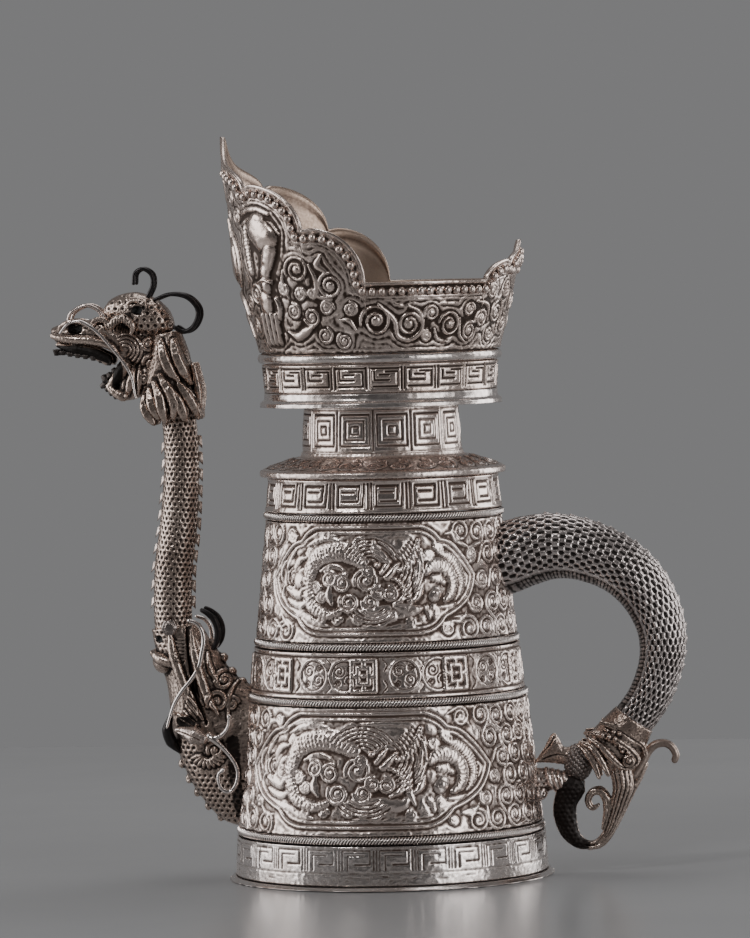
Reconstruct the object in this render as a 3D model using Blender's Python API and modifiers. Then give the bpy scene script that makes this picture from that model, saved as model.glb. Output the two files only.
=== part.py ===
"""Silver water pitcher with a dragon spout, a dragon-tail handle and a crown-shaped mouth.

Frame: the origin is the centre of the underside of the base plate, +Z is up, +X points to the
handle and -X to the spout. Sizes are in millimetres, and MM turns them into Blender's metres.
The body is a stack of turned bands with a rope wire between each two, as a silversmith solders it.
"""

import math

import bmesh
import bpy
from mathutils import Vector

MM = 0.001
GAP = 0.3                   # clearance between neighbouring pieces
WALL = 1.4                  # wall of the body bands and of the crown
SIDES = 40                  # facets round every turned piece

# Base and body: outer radii and heights of the bands, from the bottom up
BASE_RADIUS, BASE_TOP = 69.0, 2.2
FOOT = dict(bottom=2.5, top=18.9, r_bottom=67.7, r_top=66.9)
LOWER_PANEL = dict(bottom=23.3, top=76.7, r_bottom=65.5, r_top=59.8)
MIDDLE = dict(bottom=80.7, top=100.0, r_bottom=58.9, r_top=57.1)
UPPER_PANEL = dict(bottom=104.2, top=154.5, r_bottom=56.0, r_top=50.6)
SHOULDER_FRET = dict(bottom=158.5, top=172.7, r_bottom=51.1, r_top=49.6)
NECK = dict(bottom=181.6, top=202.7, r_bottom=34.8, r_top=33.6)
CROWN_FRET = dict(bottom=209.5, top=221.2, r_bottom=50.3, r_top=51.2)

# Rope wires: height of the middle, outer radius and wire diameter
FOOT_ROPE = (21.1, 66.6, 3.8)
LOWER_ROPE = (78.7, 60.5, 3.4)
MIDDLE_ROPE = (102.1, 57.3, 3.6)
UPPER_ROPE = (156.5, 51.9, 3.4)

# Crown: radius of the wall at a few heights, and the cusps of its stepped rim
CROWN_FOOT = 226.6
CROWN_FLARE = ((226.6, 52.2), (243.8, 56.8), (261.0, 60.6), (282.5, 63.2), (308.3, 66.2), (320.0, 67.0))
CROWN_COLUMNS = 96
CROWN_ROWS = 4
LOW_RIM = 256.0             # the straight rim at each side
FRONT_TIP, FRONT_VALLEY = 320.0, 297.0
FIRST_LOBE_TOP, FIRST_VALLEY = 298.6, 278.8
SECOND_LOBE_TOP = 279.5
BACK_TIP, BACK_VALLEY, BACK_LOBE_TOP = 272.9, 263.3, 264.5
FRONT_CUSP, FIRST_CUSP, BACK_LOBE_START, BACK_CUSP = -56.7, -25.9, 56.0, 75.0

SPOUT_WALL = 1.3
HANDLE_WALL = 1.2
FIN_THICKNESS = 1.6
WIRE_SIDES_RESOLUTION = 1   # a bevel resolution of 1 gives a wire six sides
WIRE_POINTS_PER_SPAN = 2


# ---------------------------------------------------------------- scene, materials, collections

def clear_scene():
    """Remove every object, so that the script can be run again."""
    for old in list(bpy.data.objects):
        bpy.data.objects.remove(old, do_unlink=True)


def new_collection(name):
    collection = bpy.data.collections.new(name)
    bpy.context.scene.collection.children.link(collection)
    return collection


def metal(name, colour, roughness):
    """A metal with one colour: a Principled BSDF with its metallic value at 1."""
    finish = bpy.data.materials.new(name)
    finish.use_nodes = True
    shader = finish.node_tree.nodes["Principled BSDF"]
    shader.inputs["Base Color"].default_value = (*colour, 1.0)
    shader.inputs["Metallic"].default_value = 1.0
    shader.inputs["Roughness"].default_value = roughness
    return finish


clear_scene()
PITCHER = new_collection("silver_pitcher")
CUTTERS = new_collection("cutters")
WORN_SILVER = (0.62, 0.60, 0.56)
BRIGHT_SILVER = (0.80, 0.79, 0.76)
DARK_SILVER = (0.20, 0.18, 0.15)


# ---------------------------------------------------------------- ways of making a piece

def place(name, data, colour=WORN_SILVER, roughness=0.35):
    """Link a named piece with its own material."""
    piece = bpy.data.objects.new(name, data)
    data.materials.append(metal(name + "_finish", colour, roughness))
    PITCHER.objects.link(piece)
    return piece


def as_cutter(piece):
    """Turn a piece into a cutter, which is a guide and not part of the pitcher."""
    PITCHER.objects.unlink(piece)
    CUTTERS.objects.link(piece)
    piece.hide_render = True
    piece.display_type = "WIRE"
    return piece


def turned(name, profile, closed=True, **finish):
    """Turn a profile of (radius, height) points round Z. It runs down the outer side."""
    mesh = bpy.data.meshes.new(name)
    verts = [(r * MM, 0.0, z * MM) for r, z in profile]
    edges = [(i, i + 1) for i in range(len(verts) - 1)]
    if closed:
        edges.append((len(verts) - 1, 0))
    mesh.from_pydata(verts, edges, [])
    piece = place(name, mesh, **finish)
    screw = piece.modifiers.new("turn", "SCREW")
    screw.axis = "Z"
    screw.steps = screw.render_steps = SIDES
    screw.use_merge_vertices = True
    screw.merge_threshold = 0.00001
    screw.use_smooth_shade = False
    return piece


def band(name, bottom, top, r_bottom, r_top, **finish):
    """A turned band of the body's wall."""
    return turned(name, [(r_top, top), (r_bottom, bottom), (r_bottom - WALL, bottom),
                         (r_top - WALL, top)], **finish)


def rope_ring(name, middle, outer, diameter, **finish):
    """A rope wire as a ring: half round outside, flat against the inside of the wall."""
    half = diameter / 2
    centre = outer - half
    arc = [(centre + half * math.cos(a), middle + half * math.sin(a))
           for a in (math.radians(90 - 45 * i) for i in range(5))]
    return turned(name, arc + [(centre - half, middle - half), (centre - half, middle + half)],
                  colour=BRIGHT_SILVER, roughness=0.25, **finish)


def ring_points(low, high, half_width, sides):
    """An elliptic section: its two ends in the XZ plane and its half width along Y."""
    low = Vector((low[0], 0.0, low[1]))
    high = Vector((high[0], 0.0, high[1]))
    centre, reach = (low + high) / 2, (high - low) / 2
    turn = [2 * math.pi * i / sides for i in range(sides)]
    return [(centre + reach * math.cos(t) + Vector((0, half_width * math.sin(t), 0))) * MM
            for t in turn]


def inset(station, depth):
    """The same section with every side moved in by a depth, which may be negative."""
    low, high, half_width = station
    shift = (Vector(high) - Vector(low)).normalized() * depth
    return (Vector(low) + shift, Vector(high) - shift, half_width - depth)


def loft(name, stations, sides=16, wall=None, **finish):
    """Join sections (low point, high point, half width) into a solid, or a tube with a wall."""
    bm = bmesh.new()

    def rings(sections):
        return [[bm.verts.new(p) for p in ring_points(*s, sides)] for s in sections]

    def skin(first, second):
        for i in range(sides):
            j = (i + 1) % sides
            bm.faces.new((first[i], first[j], second[j], second[i]))

    outer = rings(stations)
    for first, second in zip(outer, outer[1:]):
        skin(first, second)
    if wall:
        inner = rings([inset(s, wall) for s in stations])
        for first, second in zip(inner, inner[1:]):
            skin(first, second)
        skin(outer[0], inner[0])
        skin(outer[-1], inner[-1])
    else:
        bm.faces.new(outer[0])
        bm.faces.new(outer[-1])
    bmesh.ops.recalc_face_normals(bm, faces=bm.faces)
    mesh = bpy.data.meshes.new(name)
    bm.to_mesh(mesh)
    bm.free()
    return place(name, mesh, **finish)


def tube_stations(path, grow=0.0, width=1.0):
    """Sections square to a path of (x, z, radius) points; width is the share along Y."""
    stations = []
    for i, (x, z, radius) in enumerate(path):
        before, after = path[max(i - 1, 0)], path[min(i + 1, len(path) - 1)]
        along = Vector((after[0] - before[0], after[1] - before[1])).normalized()
        across = Vector((-along.y, along.x)) * (radius + grow)
        centre = Vector((x, z))
        stations.append((centre - across, centre + across, radius * width + grow))
    return stations


def smooth(points, per_span=WIRE_POINTS_PER_SPAN):
    """Points on the Catmull-Rom curve through a few points."""
    points = [Vector(p) for p in points]
    padded = [2 * points[0] - points[1], *points, 2 * points[-1] - points[-2]]
    curve = []
    for a, b, c, d in zip(padded, padded[1:], padded[2:], padded[3:]):
        for i in range(per_span):
            t = i / per_span
            curve.append(0.5 * (2 * b + (c - a) * t + (2 * a - 5 * b + 4 * c - d) * t ** 2
                                + (3 * b - a - 3 * c + d) * t ** 3))
    return curve + [points[-1]]


def wire(name, points, diameter, y=0.0, splay=0.0, **finish):
    """A round wire through (x, z) points; y is its first distance off the middle plane and
    splay is how much further out its end is."""
    line = smooth([(x, y + splay * i / (len(points) - 1), z) for i, (x, z) in enumerate(points)])
    data = bpy.data.curves.new(name, "CURVE")
    data.dimensions = "3D"
    data.bevel_depth = diameter / 2 * MM
    data.bevel_resolution = WIRE_SIDES_RESOLUTION
    data.use_fill_caps = True
    spline = data.splines.new("POLY")
    spline.points.add(len(line) - 1)
    for point, place_at in zip(spline.points, line):
        point.co = (*(place_at * MM), 1.0)
    return place(name, data, **finish)


def plate(name, outline, thickness, y=0.0, **finish):
    """A flat plate in a plane of constant Y, from its outline of (x, z) points."""
    data = bpy.data.curves.new(name, "CURVE")
    data.dimensions = "2D"
    data.fill_mode = "BOTH"
    data.extrude = thickness / 2 * MM
    spline = data.splines.new("POLY")
    spline.use_cyclic_u = True
    spline.points.add(len(outline) - 1)
    for point, (x, z) in zip(spline.points, outline):
        point.co = (x * MM, z * MM, 0.0, 1.0)
    piece = place(name, data, **finish)
    piece.rotation_euler = (math.pi / 2, 0.0, 0.0)
    piece.location = (0.0, y * MM, 0.0)
    return piece


def cut(piece, cutter):
    """Cut a piece back so that it clears its neighbour."""
    boolean = piece.modifiers.new("clear_of_" + cutter.name, "BOOLEAN")
    boolean.operation = "DIFFERENCE"
    boolean.object = cutter


def saw_fin(name, path, side, pitch, height, **finish):
    """A saw-toothed fin along one side of a tube's path of (x, z, radius) points."""
    edge, tips, run = [], [], 0.0
    curve = smooth([(x, z, r) for x, z, r in path], 6)
    last = curve[0]
    for here, after in zip(curve, curve[1:]):
        along = Vector((after.x - here.x, after.y - here.y)).normalized()
        out = Vector((-along.y, along.x)) * side
        centre = Vector((here.x, here.y))
        run += math.dist(here[:2], last[:2])
        last = here
        edge.append(centre + out * (here.z + GAP))
        lean = (run / pitch) % 1.0
        tips.append(centre + out * (here.z + 2 * GAP + height * lean))
    return plate(name, edge + tips[::-1], FIN_THICKNESS, **finish)


# ---------------------------------------------------------------- body, from the base up

def body_clearance():
    """A solid a gap larger than the body, to cut back whatever is soldered to the body."""
    outline = [(0.0, SHOULDER_FRET["top"] + GAP)]
    for part, rope in ((SHOULDER_FRET, UPPER_ROPE), (UPPER_PANEL, MIDDLE_ROPE),
                       (MIDDLE, LOWER_ROPE), (LOWER_PANEL, FOOT_ROPE)):
        middle, outer, diameter = rope
        half = diameter / 2 + GAP
        outline += [(part["r_top"] + GAP, part["top"] + GAP),
                    (part["r_bottom"] + GAP, middle + half),
                    (outer + GAP, middle + half), (outer + GAP, middle - half)]
    outline.append((0.0, FOOT_ROPE[0] - FOOT_ROPE[2] / 2 - GAP))
    return as_cutter(turned("body_clearance", outline, closed=False))


def body():
    turned("base_plate", [(0.0, BASE_TOP), (BASE_RADIUS, BASE_TOP), (BASE_RADIUS, 0.0), (0.0, 0.0)],
           closed=False)
    band("foot_band", **FOOT)
    rope_ring("foot_rope_wire", *FOOT_ROPE)
    lower = band("lower_panel", **LOWER_PANEL)
    rope_ring("lower_rope_wire", *LOWER_ROPE)
    band("middle_band", **MIDDLE)
    rope_ring("middle_rope_wire", *MIDDLE_ROPE)
    band("upper_panel", **UPPER_PANEL)
    rope_ring("upper_rope_wire", *UPPER_ROPE)
    band("shoulder_fret_band", **SHOULDER_FRET)
    cut(lower, spout_port())


def spout_port():
    """The round hole in the lower panel that lets water into the spout."""
    bpy.ops.mesh.primitive_cylinder_add(vertices=20, radius=9 * MM, depth=30 * MM,
                                        location=(-63 * MM, 0.0, 50 * MM),
                                        rotation=(0.0, math.pi / 2, 0.0))
    port = bpy.context.object
    port.name = "spout_port"
    for owner in list(port.users_collection):
        owner.objects.unlink(port)
    PITCHER.objects.link(port)
    return as_cutter(port)


def shoulder_and_neck():
    """The shoulder plate closes the body down to the neck; its rim overhangs the fret band."""
    turned("shoulder_plate", [
        (35.7, 181.3), (51.6, 176.4), (53.0, 175.8), (53.2, 174.4), (53.0, 173.0),
        (47.6, 173.0), (33.4, 179.6), (33.4, 181.3)])
    band("neck_collar", **NECK)
    turned("crown_flange", [
        (50.3, 209.2), (50.6, 206.4), (52.2, 205.0), (52.2, 203.4), (50.8, 203.0),
        (32.2, 203.0), (32.2, 204.6), (48.6, 205.6), (48.9, 209.2)])
    band("crown_fret_band", **CROWN_FRET)


def crown_radius(height):
    """Outer radius of the crown's wall at a height, from CROWN_FLARE."""
    for (z0, r0), (z1, r1) in zip(CROWN_FLARE, CROWN_FLARE[1:]):
        if height <= z1:
            return r0 + (r1 - r0) * (height - z0) / (z1 - z0)
    return CROWN_FLARE[-1][1]


def quarter_round(share):
    """Rises steeply at 0 and is level at 1."""
    share = min(max(share, 0.0), 1.0)
    return math.sqrt(1.0 - (1.0 - share) ** 2)


def lobe(bearing, start, end, low, top, valley):
    """One lobe of the rim: a quarter round up from low to top, then a dip to the valley."""
    share = (bearing - start) / (end - start)
    rise = low + (top - low) * quarter_round(share / 0.85)
    return rise - (top - valley) * max(share - 0.85, 0.0) / 0.15


def ogee(bearing, cusp, middle, valley, tip):
    """One flank of a pointed arch: round at the cusp, then sweeping up to the tip."""
    share = (bearing - cusp) / (middle - cusp)
    return valley + (tip - valley) * (0.35 * quarter_round(share / 0.5) + 0.65 * share ** 3)


def rim_height(bearing):
    """Height of the crown's rim at a bearing in degrees: -90 at the spout, 90 at the handle."""
    if bearing < FRONT_CUSP:
        return ogee(bearing, FRONT_CUSP, -90.0, FRONT_VALLEY, FRONT_TIP)
    if bearing < FIRST_CUSP:
        return lobe(bearing, FIRST_CUSP, FRONT_CUSP, FIRST_VALLEY, FIRST_LOBE_TOP, FRONT_VALLEY)
    if bearing < 0.0:
        return lobe(bearing, 0.0, FIRST_CUSP, LOW_RIM, SECOND_LOBE_TOP, FIRST_VALLEY)
    if bearing < BACK_LOBE_START:
        return LOW_RIM
    if bearing < BACK_CUSP:
        return lobe(bearing, BACK_LOBE_START, BACK_CUSP, LOW_RIM, BACK_LOBE_TOP, BACK_VALLEY)
    return ogee(bearing, BACK_CUSP, 90.0, BACK_VALLEY, BACK_TIP)


def crown():
    """The half-round moulding and the flared wall whose rim steps up to the spout."""
    turned("crown_moulding", [
        (50.8, 226.3), (52.2, 225.6), (52.7, 224.0), (52.2, 222.2), (50.8, 221.5),
        (49.8, 221.5), (49.8, 226.3)], colour=BRIGHT_SILVER, roughness=0.25)
    bm = bmesh.new()
    columns = []
    for i in range(CROWN_COLUMNS):
        turn = 2 * math.pi * i / CROWN_COLUMNS
        rim = rim_height(math.degrees(math.asin(max(-1.0, min(1.0, math.cos(turn))))))
        heights = [CROWN_FOOT + (rim - CROWN_FOOT) * row / CROWN_ROWS for row in range(CROWN_ROWS + 1)]
        columns.append([bm.verts.new(Vector((crown_radius(z) * math.cos(turn),
                                             crown_radius(z) * math.sin(turn), z)) * MM)
                        for z in heights])
    for here, after in zip(columns, columns[1:] + columns[:1]):
        for row in range(CROWN_ROWS):
            bm.faces.new((here[row], after[row], after[row + 1], here[row + 1]))
    mesh = bpy.data.meshes.new("crown_wall")
    bm.to_mesh(mesh)
    bm.free()
    wall = place("crown_wall", mesh)
    solid = wall.modifiers.new("wall", "SOLIDIFY")
    solid.thickness = WALL * MM
    solid.offset = -1.0


# ---------------------------------------------------------------- spout

# The neck of the spout: x, z and radius up its centre line
SPOUT_NECK = ((-90.6, 99.0, 7.9), (-92.2, 108.0, 8.0), (-92.4, 120.0, 8.0), (-91.6, 135.0, 8.0),
              (-89.4, 150.0, 7.9), (-87.9, 165.0, 7.6), (-87.0, 180.0, 7.3), (-87.2, 192.0, 7.2),
              (-88.4, 203.0, 7.2), (-90.4, 214.0, 7.2))
MAKARA = (((-58.0, 20.5), (-54.0, 81.0), 17.0), ((-72.0, 24.3), (-60.0, 83.7), 16.5),
          ((-82.5, 35.5), (-65.0, 87.0), 15.5), ((-89.5, 48.5), (-69.3, 91.7), 14.0),
          ((-94.4, 62.5), (-72.0, 97.0), 12.6), ((-96.4, 84.0), (-74.6, 100.3), 11.2),
          ((-100.0, 96.0), (-77.0, 105.0), 11.0), ((-102.3, 109.0), (-81.0, 111.5), 10.9))
MANE = (((-96.5, 196.4), (-79.3, 196.8), 9.6), ((-100.3, 200.0), (-77.2, 200.0), 11.5),
        ((-102.6, 206.0), (-76.8, 206.0), 12.5), ((-102.9, 214.0), (-78.6, 213.0), 12.5),
        ((-102.0, 222.0), (-81.2, 222.0), 12.0), ((-101.0, 228.0), (-83.0, 229.0), 10.5),
        ((-99.0, 233.0), (-86.0, 234.0), 8.0))
SKULL = (((-118.0, 244.8), (-118.4, 247.8), 3.0), ((-114.6, 242.6), (-114.8, 251.4), 6.5),
         ((-109.2, 240.2), (-109.4, 253.4), 9.0), ((-103.0, 235.4), (-103.0, 253.5), 10.5),
         ((-96.0, 233.9), (-95.6, 250.2), 10.0), ((-91.4, 234.9), (-90.8, 245.6), 7.5),
         ((-88.9, 237.2), (-88.7, 240.4), 3.2))
UPPER_JAW = (((-142.4, 236.6), (-142.2, 239.4), 3.0), ((-139.4, 231.8), (-138.6, 240.4), 6.5),
             ((-132.0, 231.2), (-131.6, 241.4), 8.6), ((-124.0, 231.0), (-123.6, 243.0), 9.0),
             ((-117.6, 230.4), (-117.0, 243.0), 9.4), ((-110.6, 225.0), (-109.6, 238.8), 9.6),
             ((-105.0, 223.4), (-104.0, 233.6), 8.6))
LOWER_JAW = (((-118.4, 213.0), (-119.0, 217.0), 4.0), ((-115.4, 209.4), (-116.2, 221.0), 6.0),
             ((-110.6, 207.4), (-111.0, 221.4), 7.2), ((-105.0, 207.6), (-105.0, 221.4), 7.4),
             ((-99.4, 206.0), (-99.0, 220.0), 7.4))


def spout(against_body):
    """The makara at the body holds the neck tube, and the dragon's head pours."""
    cut(loft("makara_shell", MAKARA, wall=SPOUT_WALL), against_body)
    loft("spout_neck", tube_stations(SPOUT_NECK), sides=12, wall=SPOUT_WALL)
    saw_fin("neck_back_fin", SPOUT_NECK[2:8], -1, 7.0, 3.2, colour=BRIGHT_SILVER)
    saw_fin("neck_front_fin", SPOUT_NECK[2:8], 1, 7.4, 1.8, colour=BRIGHT_SILVER)

    inside_mane = as_cutter(loft("neck_clearance", tube_stations(
        ((-87.2, 190.0, 7.2),) + SPOUT_NECK[8:] + ((-91.6, 219.0, 7.2),), grow=GAP), sides=12))
    to_mouth = as_cutter(loft("mouth_passage", tube_stations(
        ((-92.0, 216.0, 6.2), (-97.0, 223.0, 5.4), (-114.0, 225.6, 4.2)))))
    skull_room = as_cutter(loft("skull_clearance", [inset(s, -GAP) for s in SKULL]))
    mane_room = as_cutter(loft("mane_clearance", [inset(s, -GAP) for s in MANE]))
    mane = loft("dragon_mane", MANE)
    for cutter in (inside_mane, to_mouth, skull_room):
        cut(mane, cutter)
    loft("dragon_skull", SKULL)
    upper = loft("dragon_upper_jaw", UPPER_JAW)
    for cutter in (skull_room, mane_room, to_mouth):
        cut(upper, cutter)
    cut(loft("dragon_lower_jaw", LOWER_JAW), mane_room)


def head_trim():
    """Horns, whiskers and brows: one of each on either side of the head."""
    for side, hand in ((-1, "left"), (1, "right")):
        wire("horn_curl_" + hand, (
            (-99.0, 254.6), (-97.4, 256.0), (-96.9, 259.3), (-98.6, 262.2), (-102.0, 263.4),
            (-104.7, 261.6), (-105.0, 257.9)), 1.6, y=4.5 * side, colour=BRIGHT_SILVER)
        wire("crest_loop_" + hand, (
            (-93.6, 251.0), (-88.0, 252.3), (-83.0, 251.2), (-79.0, 248.0), (-77.8, 243.5),
            (-79.4, 238.8), (-83.0, 236.6), (-86.6, 238.0)), 2.0, y=5.4 * side,
            colour=DARK_SILVER)
        wire("nose_whisker_" + hand, (
            (-136.0, 243.0), (-130.0, 245.6), (-123.0, 243.0), (-117.3, 236.0), (-113.4, 228.6),
            (-108.6, 222.0), (-105.6, 215.0), (-104.6, 208.3)), 1.4, y=10.6 * side,
            splay=2.6 * side, colour=BRIGHT_SILVER, roughness=0.2)
        plate("brow_" + hand, (
            (-115.4, 238.4), (-112.6, 242.4), (-107.6, 243.6), (-104.6, 241.6), (-105.4, 238.2),
            (-109.0, 236.0), (-113.0, 236.0)), 2.4, y=12.2 * side, colour=DARK_SILVER)


def makara_trim():
    """The wires and leaves that stand off the makara."""
    for side, hand in ((-1, "left"), (1, "right")):
        wire("makara_whisker_" + hand, (
            (-84.0, 113.4), (-79.6, 111.4), (-77.4, 104.5), (-79.8, 93.0), (-86.0, 84.0),
            (-91.4, 75.0), (-94.6, 66.6)), 1.7, y=14.0 * side, splay=1.6 * side,
            colour=BRIGHT_SILVER, roughness=0.2)
        wire("makara_feeler_" + hand, (
            (-74.7, 61.7), (-67.0, 54.0), (-64.0, 46.5), (-66.7, 39.2), (-71.4, 41.0),
            (-70.6, 47.6)), 1.7, y=19.8 * side, colour=BRIGHT_SILVER)
        plate("makara_tongue_leaf_" + hand, (
            (-90.0, 65.7), (-84.0, 68.6), (-78.7, 69.7), (-77.0, 65.0), (-78.0, 60.3),
            (-80.7, 57.7), (-84.7, 59.0)), 1.6, y=17.6 * side, colour=DARK_SILVER)
        plate("makara_boss_" + hand, (
            (-96.4, 109.3), (-94.6, 112.8), (-90.8, 112.8), (-89.0, 109.3), (-90.8, 105.8),
            (-94.6, 105.8)), 2.2, y=12.6 * side, colour=DARK_SILVER)


# ---------------------------------------------------------------- handle

HANDLE = ((44.0, 134.6, 15.4), (52.0, 135.6, 15.4), (60.0, 138.2, 15.0), (70.0, 140.2, 14.2),
          (80.0, 139.8, 13.4), (90.5, 136.8, 12.8), (100.5, 131.8, 12.3), (108.8, 124.2, 11.7),
          (114.6, 115.0, 11.0), (118.0, 105.0, 10.3), (118.5, 95.0, 9.7), (116.4, 85.0, 9.2),
          (112.0, 74.6, 9.0), (105.6, 65.6, 8.8))
MOUTH_COLLAR = (((98.1, 70.3), (112.5, 60.1), 9.2), ((91.0, 63.6), (108.4, 53.4), 9.6),
                ((88.6, 57.0), (106.8, 48.0), 8.4), ((91.4, 51.4), (104.6, 45.6), 6.8))
TAIL_LOOP = ((78.2, 35.2, 5.6), (75.4, 29.0, 5.3), (75.6, 22.0, 5.2), (78.0, 16.2, 4.6),
             (82.6, 12.4, 3.2), (88.4, 12.8, 2.8), (93.2, 17.6, 3.2), (96.4, 24.4, 3.6),
             (99.4, 32.0, 4.6), (100.6, 38.4, 5.6), (99.6, 44.2, 5.8))
SOCKET = ((54.0, 40.2, 4.8), (62.0, 40.2, 4.8), (67.4, 40.4, 4.6))
LINK = ((68.9, 40.2, 4.2), (71.0, 39.8, 4.1), (74.6, 38.2, 4.0))


def handle(against_body):
    """A dragon's tail: a scaled tube from the shoulder down to a beast's mouth and a curled foot."""
    cut(loft("handle_tube", tube_stations(HANDLE), wall=HANDLE_WALL), against_body)
    saw_fin("handle_ridge_fin", HANDLE[3:13], 1, 4.8, 1.4, colour=BRIGHT_SILVER)
    collar_room = as_cutter(loft("collar_clearance", [inset(s, -GAP) for s in MOUTH_COLLAR]))
    loft("handle_mouth", MOUTH_COLLAR)
    loop_room = as_cutter(loft("loop_clearance", tube_stations(TAIL_LOOP, grow=GAP), sides=12))
    cut(loft("tail_loop", tube_stations(TAIL_LOOP), sides=12), collar_room)
    cut(loft("handle_socket", tube_stations(SOCKET), sides=12), against_body)
    cut(loft("handle_link", tube_stations(LINK), sides=12, colour=DARK_SILVER), loop_room)
    wire("trunk_curl", ((109.6, 44.4), (111.6, 50.0), (114.6, 53.6), (118.6, 54.4), (122.0, 52.0),
                        (123.0, 47.6)), 3.4, colour=DARK_SILVER)
    wire("inner_curl", ((92.4, 34.8), (90.6, 36.2), (87.4, 34.6), (85.6, 31.0), (87.0, 28.0),
                        (90.0, 28.2), (90.6, 30.6)), 1.8)
    loft("bead_cluster", tube_stations(((81.4, 40.8, 1.2), (81.4, 42.6, 3.6), (81.4, 47.6, 4.9),
                                        (81.4, 52.6, 3.6), (81.4, 54.4, 1.2))),
         sides=12, colour=DARK_SILVER)
    plate("handle_leaf_tab", (
        (63.4, 47.6), (62.8, 50.2), (65.4, 53.0), (68.0, 57.0), (70.6, 59.6), (72.8, 58.6),
        (74.4, 55.0), (76.0, 54.0), (75.2, 49.0), (74.6, 46.2), (69.0, 46.8)), 4.0)


body()
shoulder_and_neck()
crown()
soldered_to_body = body_clearance()
spout(soldered_to_body)
head_trim()
makara_trim()
handle(soldered_to_body)
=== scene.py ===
"""Looks of the silver water pitcher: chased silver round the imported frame.

Lengths in this script are millimetres in the pitcher's own frame (+Z up, +X to the handle, -X to
the spout), and MM turns them into metres. Chased work is drawn on a band that is rolled flat:
s runs round the band from the front (-Y) towards the handle, and z is the height above the table.
"""

import logging
import math
from dataclasses import dataclass
from enum import Enum
from typing import Any, Callable, Iterable, Sequence

import bpy
import numpy as np
from mathutils import Matrix, Vector


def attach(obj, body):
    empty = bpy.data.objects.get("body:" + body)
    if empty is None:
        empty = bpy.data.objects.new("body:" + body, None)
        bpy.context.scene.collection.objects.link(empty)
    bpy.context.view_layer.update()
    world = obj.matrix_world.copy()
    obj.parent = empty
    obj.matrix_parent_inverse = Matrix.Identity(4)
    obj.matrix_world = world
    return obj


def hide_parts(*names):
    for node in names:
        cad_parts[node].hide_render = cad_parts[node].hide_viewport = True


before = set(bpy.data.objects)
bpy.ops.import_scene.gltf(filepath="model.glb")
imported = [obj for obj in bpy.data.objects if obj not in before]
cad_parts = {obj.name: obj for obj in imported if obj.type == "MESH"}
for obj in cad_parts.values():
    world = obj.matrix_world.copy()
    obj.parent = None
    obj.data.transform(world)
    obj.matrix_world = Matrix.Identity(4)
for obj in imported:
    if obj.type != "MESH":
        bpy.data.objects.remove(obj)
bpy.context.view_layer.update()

LOG = logging.getLogger("pitcher")
MM = 0.001
SEED = 7
Points = Sequence[tuple[float, float]]
# Near-black painted shade for holes, open mouths and gaps, laid where the tarnish attribute passes 1.
SHADE_BLACK = (0.004, 0.0035, 0.003)
MASS_LEVEL = 0.68  # what a field holds above this is a raised mass, and the ground echoes it


# ------------------------------------------------------------------------------ shader maths

class Sock:
    """A shader value that can be written in sums."""

    def __init__(self, tree: bpy.types.NodeTree, out: bpy.types.NodeSocket) -> None:
        """Wrap an output socket of a tree."""
        self.tree = tree
        self.out = out

    def _math(self, operation: str, first: Any, second: Any) -> "Sock":
        """Add a Math node.

        Args:
            operation: the Math node's operation.
            first: its first number or socket.
            second: its second number or socket.

        Returns:
            The node's result.
        """
        node = self.tree.nodes.new("ShaderNodeMath")
        node.operation = operation
        for socket, given in zip(node.inputs, (first, second)):
            if isinstance(given, Sock):
                self.tree.links.new(given.out, socket)
            else:
                socket.default_value = given
        return Sock(self.tree, node.outputs[0])

    def __add__(self, other: Any) -> "Sock":
        """Sum."""
        return self._math("ADD", self, other)

    def __radd__(self, other: Any) -> "Sock":
        """Sum, from the right."""
        return self._math("ADD", other, self)

    def __sub__(self, other: Any) -> "Sock":
        """Difference."""
        return self._math("SUBTRACT", self, other)

    def __rsub__(self, other: Any) -> "Sock":
        """Difference, from the right."""
        return self._math("SUBTRACT", other, self)

    def __mul__(self, other: Any) -> "Sock":
        """Product."""
        return self._math("MULTIPLY", self, other)

    def __rmul__(self, other: Any) -> "Sock":
        """Product, from the right."""
        return self._math("MULTIPLY", other, self)

    def clamped(self) -> "Sock":
        """The value held between 0 and 1."""
        low = self._math("MAXIMUM", self, 0.0)
        return low._math("MINIMUM", low, 1.0)


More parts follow.
